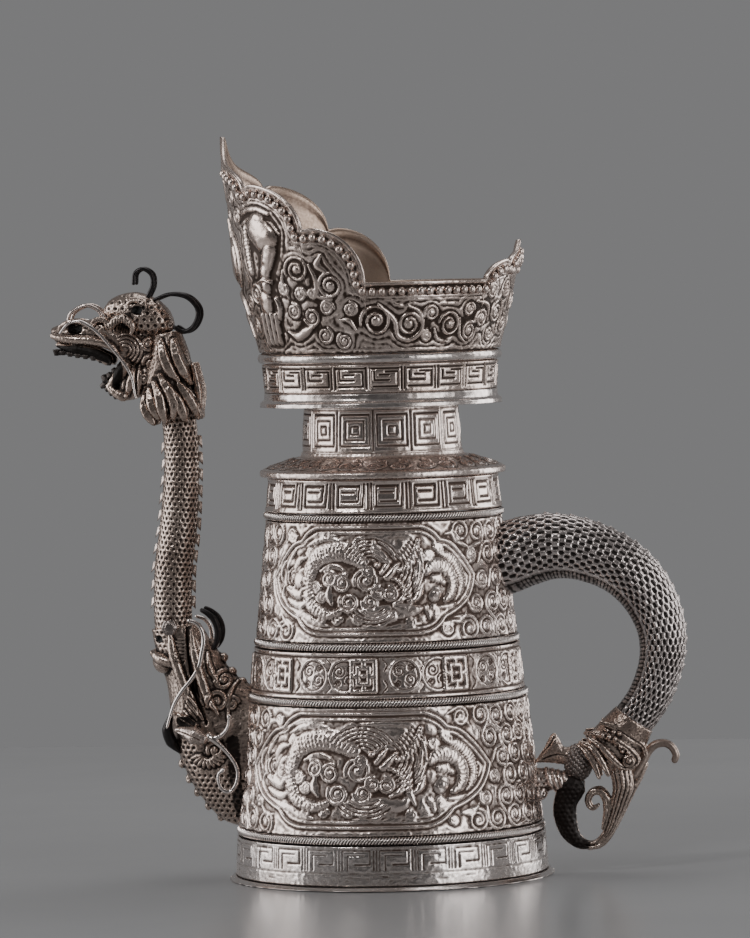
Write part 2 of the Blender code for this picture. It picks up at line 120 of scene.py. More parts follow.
class Shader:
    """Builds one material's node tree."""

    def __init__(self, name: str) -> None:
        """Start a material that has only its Principled BSDF and output.

        Args:
            name: the material's name.
        """
        self.material = bpy.data.materials.new(name)
        self.material.use_nodes = True
        self.tree = self.material.node_tree
        self.surface = self.tree.nodes["Principled BSDF"]

    def node(self, kind: str, settings: dict[str, Any], inputs: dict[Any, Any], out: Any = 0) -> Sock:
        """Add a node.

        Args:
            kind: the node's type.
            settings: the node's own settings, which are set first.
            inputs: socket name or index to a value or a Sock.
            out: the output wanted, by name or index.

        Returns:
            That output.
        """
        node = self.tree.nodes.new(kind)
        for key, given in settings.items():
            setattr(node, key, given)
        for key, given in inputs.items():
            self.feed(node.inputs[key], given)
        return Sock(self.tree, node.outputs[out])

    def feed(self, socket: bpy.types.NodeSocket, given: Any) -> None:
        """Link a Sock to a socket, or set the socket's value.

        Args:
            socket: the input to fill.
            given: the Sock to link, or the plain value.
        """
        if isinstance(given, Sock):
            self.tree.links.new(given.out, socket)
        else:
            socket.default_value = given

    def noise(self, scale: float, detail: float = 2.0) -> Sock:
        """Noise in object coordinates, about 0.5 in the middle."""
        place = self.node("ShaderNodeTexCoord", {}, {}, "Object")
        return self.node("ShaderNodeTexNoise", {}, {"Vector": place, "Scale": scale, "Detail": detail})

    def attribute(self, name: str) -> Sock:
        """A number kept on the mesh's points."""
        return self.node("ShaderNodeAttribute", {"attribute_name": name}, {}, "Fac")

    def mix(self, share: Sock, first: Sequence[float] | Sock, second: Sequence[float] | Sock) -> Sock:
        """A colour between two colours."""
        pair = [c if isinstance(c, Sock) else (*c, 1.0) for c in (first, second)]
        return self.node("ShaderNodeMix", {"data_type": "RGBA"}, {0: share, 6: pair[0], 7: pair[1]}, 2)


@dataclass(frozen=True)
class Silver:
    """A silver finish: the worn metal, the tarnish in its hollows, and how rough each is; the tarnish colour also
    carries painted shade.
    """

    name: str
    worn: tuple[float, float, float]
    tarnish: tuple[float, float, float]
    film: tuple[float, float, float]
    worn_roughness: float
    tarnish_roughness: float
    grain: float = 0.25

    def material(self) -> bpy.types.Material:
        """Build the finish as a material that follows the mesh's tarnish attribute; where that attribute passes 1 it
        holds painted shade, which turns the colour near-black.

        Returns:
            The material.
        """
        made = Shader(self.name)
        cloud = made.noise(55.0, 4.0)
        speck = made.noise(900.0, 3.0)
        hollow = made.attribute("tarnish")
        mask = ((hollow + (cloud - 0.5) * 0.5 + (speck - 0.5) * 0.35) * 1.3 - 0.12).clamped()
        film = ((cloud - 0.38) * 1.6 + (speck - 0.5) * 0.5).clamped()
        skin = made.mix(film, self.worn, self.film)
        # Painted shade: where the attribute passes 1 the colour goes to near-black.
        painted_shade = (hollow - 1.0).clamped()
        colour = made.mix(painted_shade, made.mix(mask, skin, self.tarnish), SHADE_BLACK)
        rough = mask * (self.tarnish_roughness - self.worn_roughness) + self.worn_roughness
        made.feed(made.surface.inputs["Base Color"], colour)
        made.feed(made.surface.inputs["Roughness"], (rough + (speck - 0.5) * 0.16).clamped())
        made.feed(made.surface.inputs["Metallic"], 1.0 - mask * 0.45)
        fine = made.noise(2200.0, 2.0)
        bump = made.node("ShaderNodeBump", {}, {
            "Strength": self.grain, "Distance": 0.0002, "Height": speck * 0.7 + fine * 0.3}, "Normal")
        made.feed(made.surface.inputs["Normal"], bump)
        return made.material


class Finish(Enum):
    """The finishes of the pitcher's pieces."""

    CHASED = Silver("chased_silver", (0.86, 0.74, 0.685), (0.085, 0.054, 0.041), (0.61, 0.485, 0.42), 0.22, 0.55)
    CROWN = Silver("crown_silver", (0.82, 0.69, 0.625), (0.042, 0.025, 0.017), (0.51, 0.385, 0.32), 0.22, 0.55)
    RUBBED = Silver("rubbed_silver", (0.88, 0.80, 0.765), (0.07, 0.045, 0.034), (0.70, 0.60, 0.545), 0.16, 0.45)
    TAIL = Silver("tail_silver", (0.72, 0.645, 0.62), (0.018, 0.013, 0.011), (0.42, 0.355, 0.335), 0.26, 0.5)
    DARK = Silver("dark_silver", (0.36, 0.31, 0.29), (0.018, 0.013, 0.011), (0.15, 0.118, 0.10), 0.26, 0.5)
    BLACK = Silver("black_wire", (0.060, 0.055, 0.056), (0.010, 0.009, 0.009), (0.030, 0.027, 0.027), 0.3, 0.5, 0.15)
    GILT = Silver("gilt_inside", (0.58, 0.44, 0.355), (0.07, 0.040, 0.027), (0.40, 0.275, 0.20), 0.32, 0.55)
    BROWN = Silver("brown_silver", (0.60, 0.485, 0.42), (0.022, 0.013, 0.010), (0.31, 0.215, 0.17), 0.26, 0.5)

    @property
    def slot(self) -> str:
        """The record's material slot that stands nearest to the finish."""
        slots = {Finish.RUBBED: "bright_silver", Finish.DARK: "dark_silver", Finish.BLACK: "dark_silver"}
        return slots.get(self, "worn_silver")


MATERIALS: dict[Finish, bpy.types.Material] = {}


def finish_material(finish: Finish) -> bpy.types.Material:
    """The material of a finish, built on first use.

    Args:
        finish: the finish that is wanted.

    Returns:
        The material.
    """
    if finish not in MATERIALS:
        MATERIALS[finish] = finish.value.material()
    return MATERIALS[finish]


# ------------------------------------------------------------------------------ curves and fields

def spline(points: Sequence[Sequence[float]], spacing: float = 0.35) -> np.ndarray:
    """Points on the Catmull-Rom curve through a few points.

    Args:
        points: the points that the curve passes, in any number of dimensions.
        spacing: the largest step along the curve.

    Returns:
        The curve's points, one a row.
    """
    given = np.asarray(points, float)
    if len(given) == 2:
        count = max(2, int(np.linalg.norm(given[1, :2] - given[0, :2]) / spacing) + 1)
        return given[0] + (given[1] - given[0]) * np.linspace(0, 1, count)[:, None]
    padded = np.vstack([2 * given[0] - given[1], given, 2 * given[-1] - given[-2]])
    curve = []
    for a, b, c, d in zip(padded, padded[1:], padded[2:], padded[3:]):
        count = max(2, int(np.linalg.norm((c - b)[:3]) / spacing) + 1)
        t = np.arange(count)[:, None] / count
        curve.append(0.5 * (2 * b + (c - a) * t + (2 * a - 5 * b + 4 * c - d) * t ** 2
                            + (3 * b - a - 3 * c + d) * t ** 3))
    return np.vstack([*curve, given[-1:]])


def polyline(points: Points, spacing: float = 0.3) -> np.ndarray:
    """Points along straight runs between the given points."""
    runs = [spline((a, b), spacing) for a, b in zip(points, points[1:])]
    return np.vstack(runs)


def volute_path(s: float, z: float, radius: float, start: float, hand: int, turns: float = 1.6) -> np.ndarray:
    """A spiral that runs in from its outer turn.

    Args:
        s: where its eye lies, round the band.
        z: where its eye lies, in height.
        radius: its outer radius.
        start: the angle of its outer end in degrees.
        hand: 1 to run in anticlockwise, -1 clockwise.
        turns: how many turns it makes.

    Returns:
        The spiral's points.
    """
    t = np.linspace(0, 1, max(12, int(radius * turns * 14)))[:, None]
    angle = math.radians(start) + hand * 2 * math.pi * turns * t
    reach = radius * (1 - t) ** 0.85 + 0.12 * radius * t
    return np.hstack([s + reach * np.cos(angle), z + reach * np.sin(angle)])


def blurred(field_: np.ndarray, cells: float) -> np.ndarray:
    """A field smoothed by a Gaussian; it wraps round and is mirrored at its top and bottom.

    Args:
        field_: the field, with rows along z and columns along s.
        cells: the width of the smoothing in cells.

    Returns:
        The smoothed field.
    """
    pad = min(int(3 * cells) + 1, field_.shape[0] - 1)
    tall = np.pad(field_, ((pad, pad), (0, 0)), mode="reflect")
    fz = np.fft.fftfreq(tall.shape[0])[:, None]
    fs = np.fft.rfftfreq(tall.shape[1])[None, :]
    gain = np.exp(-2 * (math.pi * cells) ** 2 * (fz ** 2 + fs ** 2))
    return np.fft.irfft2(np.fft.rfft2(tall) * gain, tall.shape)[pad:-pad]


class Relief:
    """The height of chased work on a band that is rolled flat and closes on itself."""

    def __init__(self, length: float, low: float, high: float, step: float) -> None:
        """Start a plain ground.

        Args:
            length: the way once round the pattern.
            low: the height of its lower edge.
            high: the height of its upper edge.
            step: the size of a cell.
        """
        self.length, self.low, self.step = length, low, step
        self.columns = max(8, round(length / step))
        self.rows = max(2, round((high - low) / step)) + 1
        self.cell_z = (high - low) / (self.rows - 1)
        self.cell_s = length / self.columns
        self.height = np.zeros((self.rows, self.columns))

    def mask(self, path: np.ndarray, radii: Any) -> np.ndarray:
        """How far each cell lies inside a stroke: 1 on its middle line, 0 outside.

        Args:
            path: the stroke's points as (s, z) rows.
            radii: its half width, one number or one a point.

        Returns:
            An array of the ground's shape.
        """
        found = np.zeros_like(self.height)
        radii = np.broadcast_to(radii, len(path))
        for (s, z), radius in zip(path, radii):
            row0 = max(int((z - radius - self.low) / self.cell_z), 0)
            row1 = min(int((z + radius - self.low) / self.cell_z) + 2, self.rows)
            if row1 <= row0 or radius <= 0:
                continue
            column0 = math.floor((s - radius) / self.cell_s)
            columns = np.arange(column0, column0 + int(2 * radius / self.cell_s) + 3)
            dz = self.low + np.arange(row0, row1) * self.cell_z - z
            ds = columns * self.cell_s - s
            inside = 1 - (dz[:, None] ** 2 + ds[None, :] ** 2) / radius ** 2
            window = np.ix_(np.arange(row0, row1), columns % self.columns)
            found[window] = np.maximum(found[window], inside)
        return np.clip(found, 0, 1)

    def ridge(self, path: np.ndarray, radii: Any, height: float, crisp: float = 0.5) -> None:
        """Raise a rounded ridge along a path above the ground."""
        inside = self.mask(path, radii)
        self.height = np.where(inside > 0, np.maximum(self.height, height * inside ** crisp), self.height)

    def groove(self, path: np.ndarray, radius: float, depth: float) -> None:
        """Cut a groove along a path into whatever is there."""
        self.height -= depth * self.mask(path, radius) ** 0.7

    def stroke(self, points: Points, widths: Sequence[float], height: float) -> None:
        """Raise a stroke through a few points, with half widths that vary along it.

        Args:
            points: points in millimetres, one a row.
            widths: the half width at each point.
            height: how high it is raised.
        """
        path = spline(points, 0.5 * self.step)
        along = np.linspace(0, 1, len(path))
        radii = np.interp(along, np.linspace(0, 1, len(widths)), widths)
        self.groove(path, max(widths) + 0.5, 0.25 * height)
        self.ridge(path, radii, height)

    def volute(self, s: float, z: float, radius: float, start: float = 0.0, hand: int = 1,
               height: float = 0.9, ribbon: float = 0.85, turns: float = 1.6) -> None:
        """Raise a spiral tendril with a boss in its eye.

        Args:
            s: the place round the piece.
            z: the height of the place.
            radius: the radius in millimetres.
            start: the angle that it starts at.
            hand: which way it curls, 1 or -1.
            height: how high it is raised.
            ribbon: the half width of the band.
            turns: how many turns it makes.
        """
        path = volute_path(s, z, radius, start, hand, turns)
        radii = np.linspace(ribbon, 0.6 * ribbon, len(path))
        self.ridge(path, radii, height)
        self.ridge(np.array([[s, z]]), 0.26 * radius + 0.35, height * 1.15)

    def tarnish(self, rest: float = 0.2, strength: float = 1.0, pool: float = 1.7) -> np.ndarray:
        """How dark each cell is: hollows keep their tarnish and high places are rubbed clean.

        Args:
            rest: the tarnish of level ground.
            strength: how much the hollows darken it.
            pool: the share of the wide hollows.

        Returns:
            A value from 0 to 1 for each cell.
        """
        near = blurred(self.height, 0.75 / self.step) - self.height
        far = blurred(self.height, 2.8 / self.step) - self.height
        return np.clip(rest + strength * (2.4 * near + pool * far), 0, 1)

    def echoed(self, lift: float, spacing: float, ripple: float) -> None:
        """Raise the ground between the strokes in lines that echo their outlines.

        Args:
            lift: how high the ground comes up, away from the strokes.
            spacing: the way from line to line.
            ripple: the height of the lines.
        """
        solid = self.height > MASS_LEVEL
        fz = np.fft.fftfreq(self.rows, self.cell_z)[:, None]
        fs = np.fft.rfftfreq(self.columns, self.cell_s)[None, :]
        reach = 1.3
        gain = 1 / (1 + (2 * math.pi * reach) ** 2 * (fz ** 2 + fs ** 2)) ** 1.5
        spread = np.fft.irfft2(np.fft.rfft2(solid.astype(float)) * gain, solid.shape)
        away = -reach * np.log(np.clip(2 * spread, 1e-3, 1.0))
        ground = np.maximum(self.height, lift * (1 - np.exp(-away / 0.7)))
        ground = ground + ripple * np.cos(2 * math.pi * away / spacing) * np.exp(-away / 7)
        self.height = np.where(solid, self.height, ground)

    def stippled(self, path: np.ndarray, reach: float, count: int, radius: float = 0.45, depth: float = 0.3) -> None:
        """Punch small dents at random along a path.

        Args:
            path: the points to keep near.
            reach: the reach to each side.
            count: how many there are.
            radius: the radius in millimetres.
            depth: how deep it goes.
        """
        rng = np.random.default_rng(count)
        picked = path[rng.integers(0, len(path), count)] + rng.uniform(-reach, reach, (count, 2)) * 0.7
        self.groove(picked, radius, depth)

    def matted(self, height: float, seed: int) -> None:
        """Roughen the ground with small dents, as a matting punch does.

        Args:
            height: how high it is raised.
            seed: the seed of the random draw.
        """
        rng = np.random.default_rng(seed)
        rough = blurred(rng.standard_normal(self.height.shape), 1.1)
        self.height += height * rough / rough.std()


# ------------------------------------------------------------------------------ meshes

def signed_volume(points: np.ndarray, faces: Sequence[np.ndarray]) -> float:
    """Volume inside closed faces: it is negative where they point inwards.

    Args:
        points: points in millimetres, one a row.
        faces: arrays of faces, as rows of point numbers.

    Returns:
        The volume in cubic millimetres.
    """
    total = 0.0
    for array in faces:
        for k in range(1, array.shape[1] - 1):
            a, b, c = points[array[:, 0]], points[array[:, k]], points[array[:, k + 1]]
            total += np.einsum("ij,ij->", a, np.cross(b, c)) / 6
    return total


def mesh_object(name: str, points: np.ndarray, faces: Sequence[np.ndarray], finish: Finish,
                tarnish: np.ndarray | float = 0.2, lining: tuple[int, Finish] | None = None) -> bpy.types.Object:
    """Make a smooth mesh object from closed faces, turned outwards if need be.

    Args:
        name: the object's name.
        points: its points in millimetres, one a row.
        faces: arrays of faces, each with as many columns as its faces have corners.
        finish: its finish.
        tarnish: how dark each point is.
        lining: the array of faces that has another finish, and that finish.

    Returns:
        The object, linked to the scene.
    """
    points = points.reshape(-1, 3)
    if signed_volume(points, faces) < 0:
        faces = [array[:, ::-1] for array in faces]
    mesh = bpy.data.meshes.new(name)
    sides = np.concatenate([np.full(len(array), array.shape[1]) for array in faces])
    corners = np.concatenate([array.ravel() for array in faces]).astype(np.int32)
    mesh.vertices.add(len(points))
    mesh.vertices.foreach_set("co", (points * MM).astype(np.float32).ravel())
    mesh.loops.add(len(corners))
    mesh.loops.foreach_set("vertex_index", corners)
    mesh.polygons.add(len(sides))
    mesh.polygons.foreach_set("loop_start", (np.cumsum(sides) - sides).astype(np.int32))
    mesh.polygons.foreach_set("use_smooth", np.ones(len(sides), dtype=bool))
    mesh.materials.append(finish_material(finish))
    if lining:
        mesh.materials.append(finish_material(lining[1]))
        index = np.concatenate([np.full(len(array), int(i == lining[0])) for i, array in enumerate(faces)])
        mesh.polygons.foreach_set("material_index", index.astype(np.int32))
    mesh.update(calc_edges=True)
    darken(mesh, np.broadcast_to(tarnish, len(points)) if np.ndim(tarnish) == 0 else np.ravel(tarnish))
    piece = bpy.data.objects.new(name, mesh)
    bpy.context.scene.collection.objects.link(piece)
    return piece


def darken(mesh: bpy.types.Mesh, tarnish: np.ndarray) -> None:
    """Store how dark each point of a mesh is: its tarnish, with painted shade added in places."""
    layer = mesh.attributes.get("tarnish") or mesh.attributes.new("tarnish", "FLOAT", "POINT")
    layer.data.foreach_set("value", tarnish.astype(np.float32))


def grid_faces(rows: int, columns: int, closed_rows: bool, closed_columns: bool, first: int = 0) -> np.ndarray:
    """Quads over a grid of points that is numbered row by row from a first point.

    Args:
        rows: the number of rows.
        columns: the number of columns.
        closed_rows: whether the last row joins the first.
        closed_columns: whether the last column joins the first.
        first: the number of the first point.

    Returns:
        The quads, one a row.
    """
    i = np.arange(rows if closed_rows else rows - 1)[:, None]
    j = np.arange(columns if closed_columns else columns - 1)[None, :]
    i2, j2 = (i + 1) % rows, (j + 1) % columns
    quads = [i * columns + j, i * columns + j2, i2 * columns + j2, i2 * columns + j]
    return np.stack(np.broadcast_arrays(*quads), -1).reshape(-1, 4) + first


def around(columns: int) -> np.ndarray:
    """Angles of a whole turn, from the front towards the handle."""
    return 2 * math.pi * np.arange(columns) / columns


def turned_points(radius: np.ndarray, z: np.ndarray, turn: np.ndarray) -> np.ndarray:
    """Points round Z; radius and z are rows by columns."""
    return np.stack(np.broadcast_arrays(radius * np.sin(turn), -radius * np.cos(turn), z), -1)


def slice_of(grid: np.ndarray, tarnish: np.ndarray, name: str, finish: Finish, columns: np.ndarray,
             inner_rows: int = 0, lining: Finish | None = None) -> bpy.types.Object:
    """Make a closed piece from some neighbouring columns of a turned section.

    Args:
        grid: points, rows by columns; the rows go once round the wall's section.
        tarnish: how dark each point is.
        name: the piece's name.
        finish: its finish.
        columns: the columns that it takes.
        inner_rows: how many of the last rows are the inner side.
        lining: the inner side's finish.

    Returns:
        The piece.
    """
    rows, count = len(grid), len(columns)
    whole = count == grid.shape[1]
    faces = grid_faces(rows, count, True, whole)
    split = (rows - inner_rows) * (count if whole else count - 1)
    arrays = [faces[:split], faces[split:]] if inner_rows else [faces]
    if not whole:
        ring = np.arange(rows)[None, :] * count
        arrays += [ring, (ring + count - 1)[:, ::-1]]
    return mesh_object(name, grid[:, columns], arrays, finish, tarnish[:, columns],
                       (1, lining) if lining else None)


def swept(name: str, path: np.ndarray, relief: "Relief", finish: Finish, tarnish: np.ndarray,
          width: float = 1.0) -> bpy.types.Object:
    """Make a closed tube along a path in the pitcher's middle plane, chased all round.

    Args:
        name: the piece's name.
        path: rows of x, z and radius.
        relief: its chasing; the band's height is the way along the path.
        finish: its finish.
        tarnish: how dark each cell is.
        width: how wide its section is beside its depth.

    Returns:
        The piece.
    """
    along = np.concatenate([[0], np.cumsum(np.hypot(*np.diff(path[:, :2], axis=0).T))])
    share = np.linspace(0, along[-1], relief.rows)
    x, z, radius = (np.interp(share, along, path[:, k]) for k in range(3))
    tangent = np.gradient(np.stack([x, z], 1), axis=0)
    tangent /= np.linalg.norm(tangent, axis=1, keepdims=True)
    turn = around(relief.columns)[None, :]
    reach = radius[:, None] + relief.height
    across = reach * np.sin(turn)
    points = np.stack([x[:, None] - tangent[:, 1:] * across, -reach * np.cos(turn) * width,
                       z[:, None] + tangent[:, :1] * across], -1)
    ends = [np.broadcast_to((x[k], 0.0, z[k]), points[0].shape)[None] for k in (0, -1)]
    points = np.vstack([ends[0], points, ends[1]])
    tarnish = np.vstack([tarnish[:1], tarnish, tarnish[-1:]])
    return mesh_object(name, points, [grid_faces(len(points), relief.columns, False, True)], finish, tarnish)


def wire(name: str, points: Sequence[Sequence[float]], radii: Sequence[float], finish: Finish,
         tarnish: float = 0.15, sides: int = 12) -> bpy.types.Object:
    """Make a round wire through points in space, with rounded ends.

    Args:
        name: the piece's name.
        points: rows of x, y and z.
        radii: its radius at even steps along it.
        finish: its finish.
        tarnish: how dark it is.
        sides: facets round it.

    Returns:
        The piece.
    """
    return mesh_object(name, *tube(points, radii, sides), finish, tarnish)


def tube(points: Sequence[Sequence[float]], radii: Sequence[float], sides: int = 12,
         spacing: float = 0.6) -> tuple[np.ndarray, list[np.ndarray]]:
    """Points and faces of a closed tube of varying radius; see wire.

    Args:
        points: points in millimetres, one a row.
        radii: the radius of each one.
        sides: the number of sides.
        spacing: the way from ring to ring.

    Returns:
        The points and the arrays of faces.
    """
    path = spline(points, spacing)
    tangent = np.gradient(path, axis=0)
    tangent /= np.linalg.norm(tangent, axis=1, keepdims=True)
    normal = [np.cross(tangent[0], (0.31, 0.9, 0.3))]
    for t in tangent[1:]:
        turned = normal[-1] - t * np.dot(normal[-1], t)
        normal.append(turned / np.linalg.norm(turned))
    normal[0] /= np.linalg.norm(normal[0])
    normal = np.array(normal)
    other = np.cross(tangent, normal)
    radius = np.interp(np.linspace(0, 1, len(path)), np.linspace(0, 1, len(radii)), radii)
    turn = around(sides)
    rings = path[:, None] + radius[:, None, None] * (normal[:, None] * np.cos(turn)[None, :, None]
                                                     + other[:, None] * np.sin(turn)[None, :, None])
    caps = []
    for k, way in ((0, -1), (-1, 1)):
        for share, reach in ((0.75, 0.66), (0.0, 1.0)):
            caps.append(path[k] + way * reach * radius[k] * tangent[k] + share * (rings[k] - path[k]))
    grid = np.concatenate([caps[1][None], caps[0][None], rings, caps[2][None], caps[3][None]])
    return grid.reshape(-1, 3), [grid_faces(len(grid), sides, False, True)]


def add_piece(piece: bpy.types.Object, finish: Finish, *nodes: str) -> bpy.types.Object:
    """Attach a finished piece to the root body and hide the CAD solids that it stands for.

    Args:
        piece: the finished piece.
        finish: not used.
        nodes: the CAD nodes that it stands for; none if it is extra.

    Returns:
        The same piece.
    """
    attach(piece, "root")
    if nodes:
        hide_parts(*nodes)
    LOG.info("%s: %d points", piece.name, len(piece.data.vertices))
    return piece


# ------------------------------------------------------------------------------ repeats

class Repeats:
    """A Geometry Nodes tree that sets one small shape at every point of a mesh.

    Each point carries a turn (an Euler rotation), a size (a scale) and its tarnish.
    """

    def __init__(self, name: str, shape: str, settings: dict[str, Any]) -> None:
        """Build the tree.

        Args:
            name: the tree's name.
            shape: the node that makes the small shape.
            settings: that node's inputs, which become the tree's named inputs.
        """
        self.tree = bpy.data.node_groups.new(name, "GeometryNodeTree")
        self.sizes = settings
        face = self.tree.interface
        face.new_socket("Geometry", in_out="INPUT", socket_type="NodeSocketGeometry")
        face.new_socket("Geometry", in_out="OUTPUT", socket_type="NodeSocketGeometry")
        face.new_socket("Finish", in_out="INPUT", socket_type="NodeSocketMaterial")
        for key, given in settings.items():
            kind = "NodeSocketInt" if isinstance(given, int) else "NodeSocketFloat"
            face.new_socket(key, in_out="INPUT", socket_type=kind)
        nodes, link = self.tree.nodes, self.tree.links.new
        start, end = nodes.new("NodeGroupInput"), nodes.new("NodeGroupOutput")
        small = nodes.new(shape)
        for key in settings:
            link(start.outputs[key], small.inputs[key])
        turn, size = nodes.new("GeometryNodeInputNamedAttribute"), nodes.new("GeometryNodeInputNamedAttribute")
        for node, attribute in ((turn, "turn"), (size, "size")):
            node.data_type = "FLOAT_VECTOR"
            node.inputs["Name"].default_value = attribute
        spread = nodes.new("GeometryNodeInstanceOnPoints")
        link(start.outputs["Geometry"], spread.inputs["Points"])
        link(small.outputs["Mesh"], spread.inputs["Instance"])
        link(turn.outputs["Attribute"], spread.inputs["Rotation"])
        link(size.outputs["Attribute"], spread.inputs["Scale"])
        real, smooth = nodes.new("GeometryNodeRealizeInstances"), nodes.new("GeometryNodeSetShadeSmooth")
        dress = nodes.new("GeometryNodeSetMaterial")
        link(spread.outputs["Instances"], real.inputs["Geometry"])
        link(real.outputs["Geometry"], smooth.inputs["Geometry"])
        link(smooth.outputs["Geometry"], dress.inputs["Geometry"])
        link(start.outputs["Finish"], dress.inputs["Material"])
        link(dress.outputs["Geometry"], end.inputs["Geometry"])

    def spread(self, name: str, places: np.ndarray, frames: np.ndarray, sizes: np.ndarray,
               finish: Finish, tarnish: float = 0.1) -> bpy.types.Object:
        """Set the small shape at every place.

        Args:
            name: the new piece's name.
            places: points in millimetres, one a row.
            frames: a rotation matrix for each place, its columns the shape's axes.
            sizes: the shape's scale along its own axes for each place, in millimetres.
            finish: the piece's finish.
            tarnish: how dark the piece is.

        Returns:
            A plain mesh object.
        """
        mesh = bpy.data.meshes.new(name)
        mesh.vertices.add(len(places))
        mesh.vertices.foreach_set("co", (places * MM).astype(np.float32).ravel())
        turns = np.array([Matrix(f).to_euler() for f in frames], np.float32)
        for key, values in (("turn", turns), ("size", (sizes * MM).astype(np.float32))):
            mesh.attributes.new(key, "FLOAT_VECTOR", "POINT").data.foreach_set("vector", values.ravel())
        carrier = bpy.data.objects.new(name, mesh)
        bpy.context.scene.collection.objects.link(carrier)
        modifier = carrier.modifiers.new("repeats", "NODES")
        modifier.node_group = self.tree
        values = {"Finish": finish_material(finish), **self.sizes}
        for socket in self.tree.interface.items_tree:
            if socket.in_out == "INPUT" and socket.name in values:
                modifier[socket.identifier] = values[socket.name]
        piece = plain_copy(carrier, name)
        darken(piece.data, np.full(len(piece.data.vertices), tarnish))
        return piece


def plain_copy(source: bpy.types.Object, name: str) -> bpy.types.Object:
    """Turn an object with modifiers into a plain mesh object, and remove the source.

    Args:
        source: the object to copy.
        name: the copy's name.

    Returns:
        The copy.
    """
    view = bpy.context.view_layer
    view.update()
    mesh = bpy.data.meshes.new_from_object(source.evaluated_get(view.depsgraph))
    mesh.name = name
    bpy.data.objects.remove(source)
    piece = bpy.data.objects.new(name, mesh)
    bpy.context.scene.collection.objects.link(piece)
    return piece


def read_mesh(mesh: bpy.types.Mesh) -> tuple[np.ndarray, np.ndarray, np.ndarray]:
    """A mesh's points in millimetres, its point normals and its edges.

    Args:
        mesh: the mesh to read.

    Returns:
        The points, the normals and the edges.
    """
    points, normals = (np.empty(len(mesh.vertices) * 3, np.float32) for _ in range(2))
    mesh.vertices.foreach_get("co", points)
    mesh.vertex_normals.foreach_get("vector", normals)
    edges = np.empty(len(mesh.edges) * 2, np.int32)
    mesh.edges.foreach_get("vertices", edges)
    return points.reshape(-1, 3).astype(float) / MM, normals.reshape(-1, 3).astype(float), edges.reshape(-1, 2)


def relaxed(values: np.ndarray, edges: np.ndarray, rounds: int) -> np.ndarray:
    """Values averaged with their neighbours over a mesh a few times.

    Args:
        values: a value for each point.
        edges: pairs of point numbers.
        rounds: how often it is averaged.

    Returns:
        The averaged values.
    """
    ends = np.concatenate([edges[:, 0], edges[:, 1]])
    others = np.concatenate([edges[:, 1], edges[:, 0]])
    count = np.bincount(ends, minlength=len(values))[:, None]
    for _ in range(rounds):
        near = np.stack([np.bincount(ends, values[others, k], len(values)) for k in range(values.shape[1])], 1)
        values = 0.5 * values + 0.5 * near / np.maximum(count, 1)
    return values


def axes_from(along: np.ndarray, out: np.ndarray) -> np.ndarray:
    """Frames whose X runs along, Z points out and Y completes them.

    Args:
        along: the directions along.
        out: the directions outwards.

    Returns:
        The three axes of each frame.
    """
    x = along / np.linalg.norm(along, axis=1, keepdims=True)
    y = np.cross(out, x)
    y /= np.linalg.norm(y, axis=1, keepdims=True)
    z = np.cross(x, y)
    return np.stack([x, y, z], -1)


# ------------------------------------------------------------------------------ body bands

def node_ring(node: str) -> tuple[float, float, float, float]:
    """A turned node's lower and upper height and its outer radius at each, in millimetres.

    Args:
        node: the CAD node's name.

    Returns:
        The lower height, the upper height and the outer radius.
    """
    co = np.array([v.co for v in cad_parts[node].data.vertices]) / MM
    radius = np.hypot(co[:, 0], co[:, 1])
    low, high = co[:, 2].min(), co[:, 2].max()
    return low, high, radius[co[:, 2] < low + 0.05].max(), radius[co[:, 2] > high - 0.05].max()


@dataclass
class Band:
    """One turned piece of the body, with chased work on its outer side."""

    node: str
    draw: Callable[["Band", Relief], None]
    step: float = 0.45
    repeats: int = 1
    halves: int = 1
    wall: float = 1.4
    finish: Finish = Finish.CHASED
    rest: float = 0.2
    strength: float = 1.0
    pool: float = 1.7
    sink: float = 0.3
    profile: Points | None = None

    def __post_init__(self) -> None:
        """Read the band's place from the frame, unless it has a profile of its own."""
        if self.profile:
            line = spline([(*p, 0.0) for p in self.profile], 0.4)[:, :2]
            along = np.concatenate([[0], np.cumsum(np.hypot(*np.diff(line, axis=0).T))])
            self.low, self.high = 0.0, along[-1]
            self.line = np.column_stack([along, line])
        else:
            self.low, self.high, r_low, r_high = node_ring(self.node)
            self.line = np.array([[self.low, r_low, self.low], [self.high, r_high, self.high]])
        self.radius = self.line[:, 1].max() if self.profile else self.line[:, 1].mean()
        self.length = 2 * math.pi * self.radius / self.repeats

    def relief(self) -> Relief:
        """Draw the chased work.

        Returns:
            The drawn height field.
        """
        relief = Relief(self.length, self.low, self.high, self.step)
        self.draw(self, relief)
        return relief

    def build(self) -> None:
        """Raise the wall and add the piece, or its front and back halves."""
        relief = self.relief()
        height = np.tile(relief.height - self.sink, (1, self.repeats))
        dark = np.tile(relief.tarnish(self.rest, self.strength, self.pool), (1, self.repeats))
        share = np.linspace(self.low, self.high, relief.rows)
        r, z = (np.interp(share, self.line[:, 0], self.line[:, k]) for k in (1, 2))
        slope = np.stack([np.gradient(z), -np.gradient(r)], 1)
        slope /= np.linalg.norm(slope, axis=1, keepdims=True)
        radius = r[:, None] + slope[:, :1] * height
        height_z = z[:, None] + slope[:, 1:] * height
        inner = np.array([-1, 0]) if not self.profile else np.arange(relief.rows - 1, -1, -4)
        columns = height.shape[1]
        back_r, back_z = (np.broadcast_to(v[inner, None] - self.wall * slope[inner, k:k + 1], (len(inner), columns))
                          for k, v in enumerate((r, z)))
        turn = around(columns)[None, :]
        grid = turned_points(np.vstack([radius, back_r]), np.vstack([height_z, back_z]), turn)
        dark = np.vstack([dark, np.full((len(inner), columns), 0.5)])
        for half in range(self.halves):
            size = columns // self.halves
            start = -size // 2 + half * size
            picked = np.arange(columns) if self.halves == 1 else np.arange(start, start + size + 1) % columns
            name = self.node + ("_chased", "_chased_back")[half]
            piece = slice_of(grid, dark, name, self.finish, picked, 0)
            add_piece(piece, self.finish, self.node)


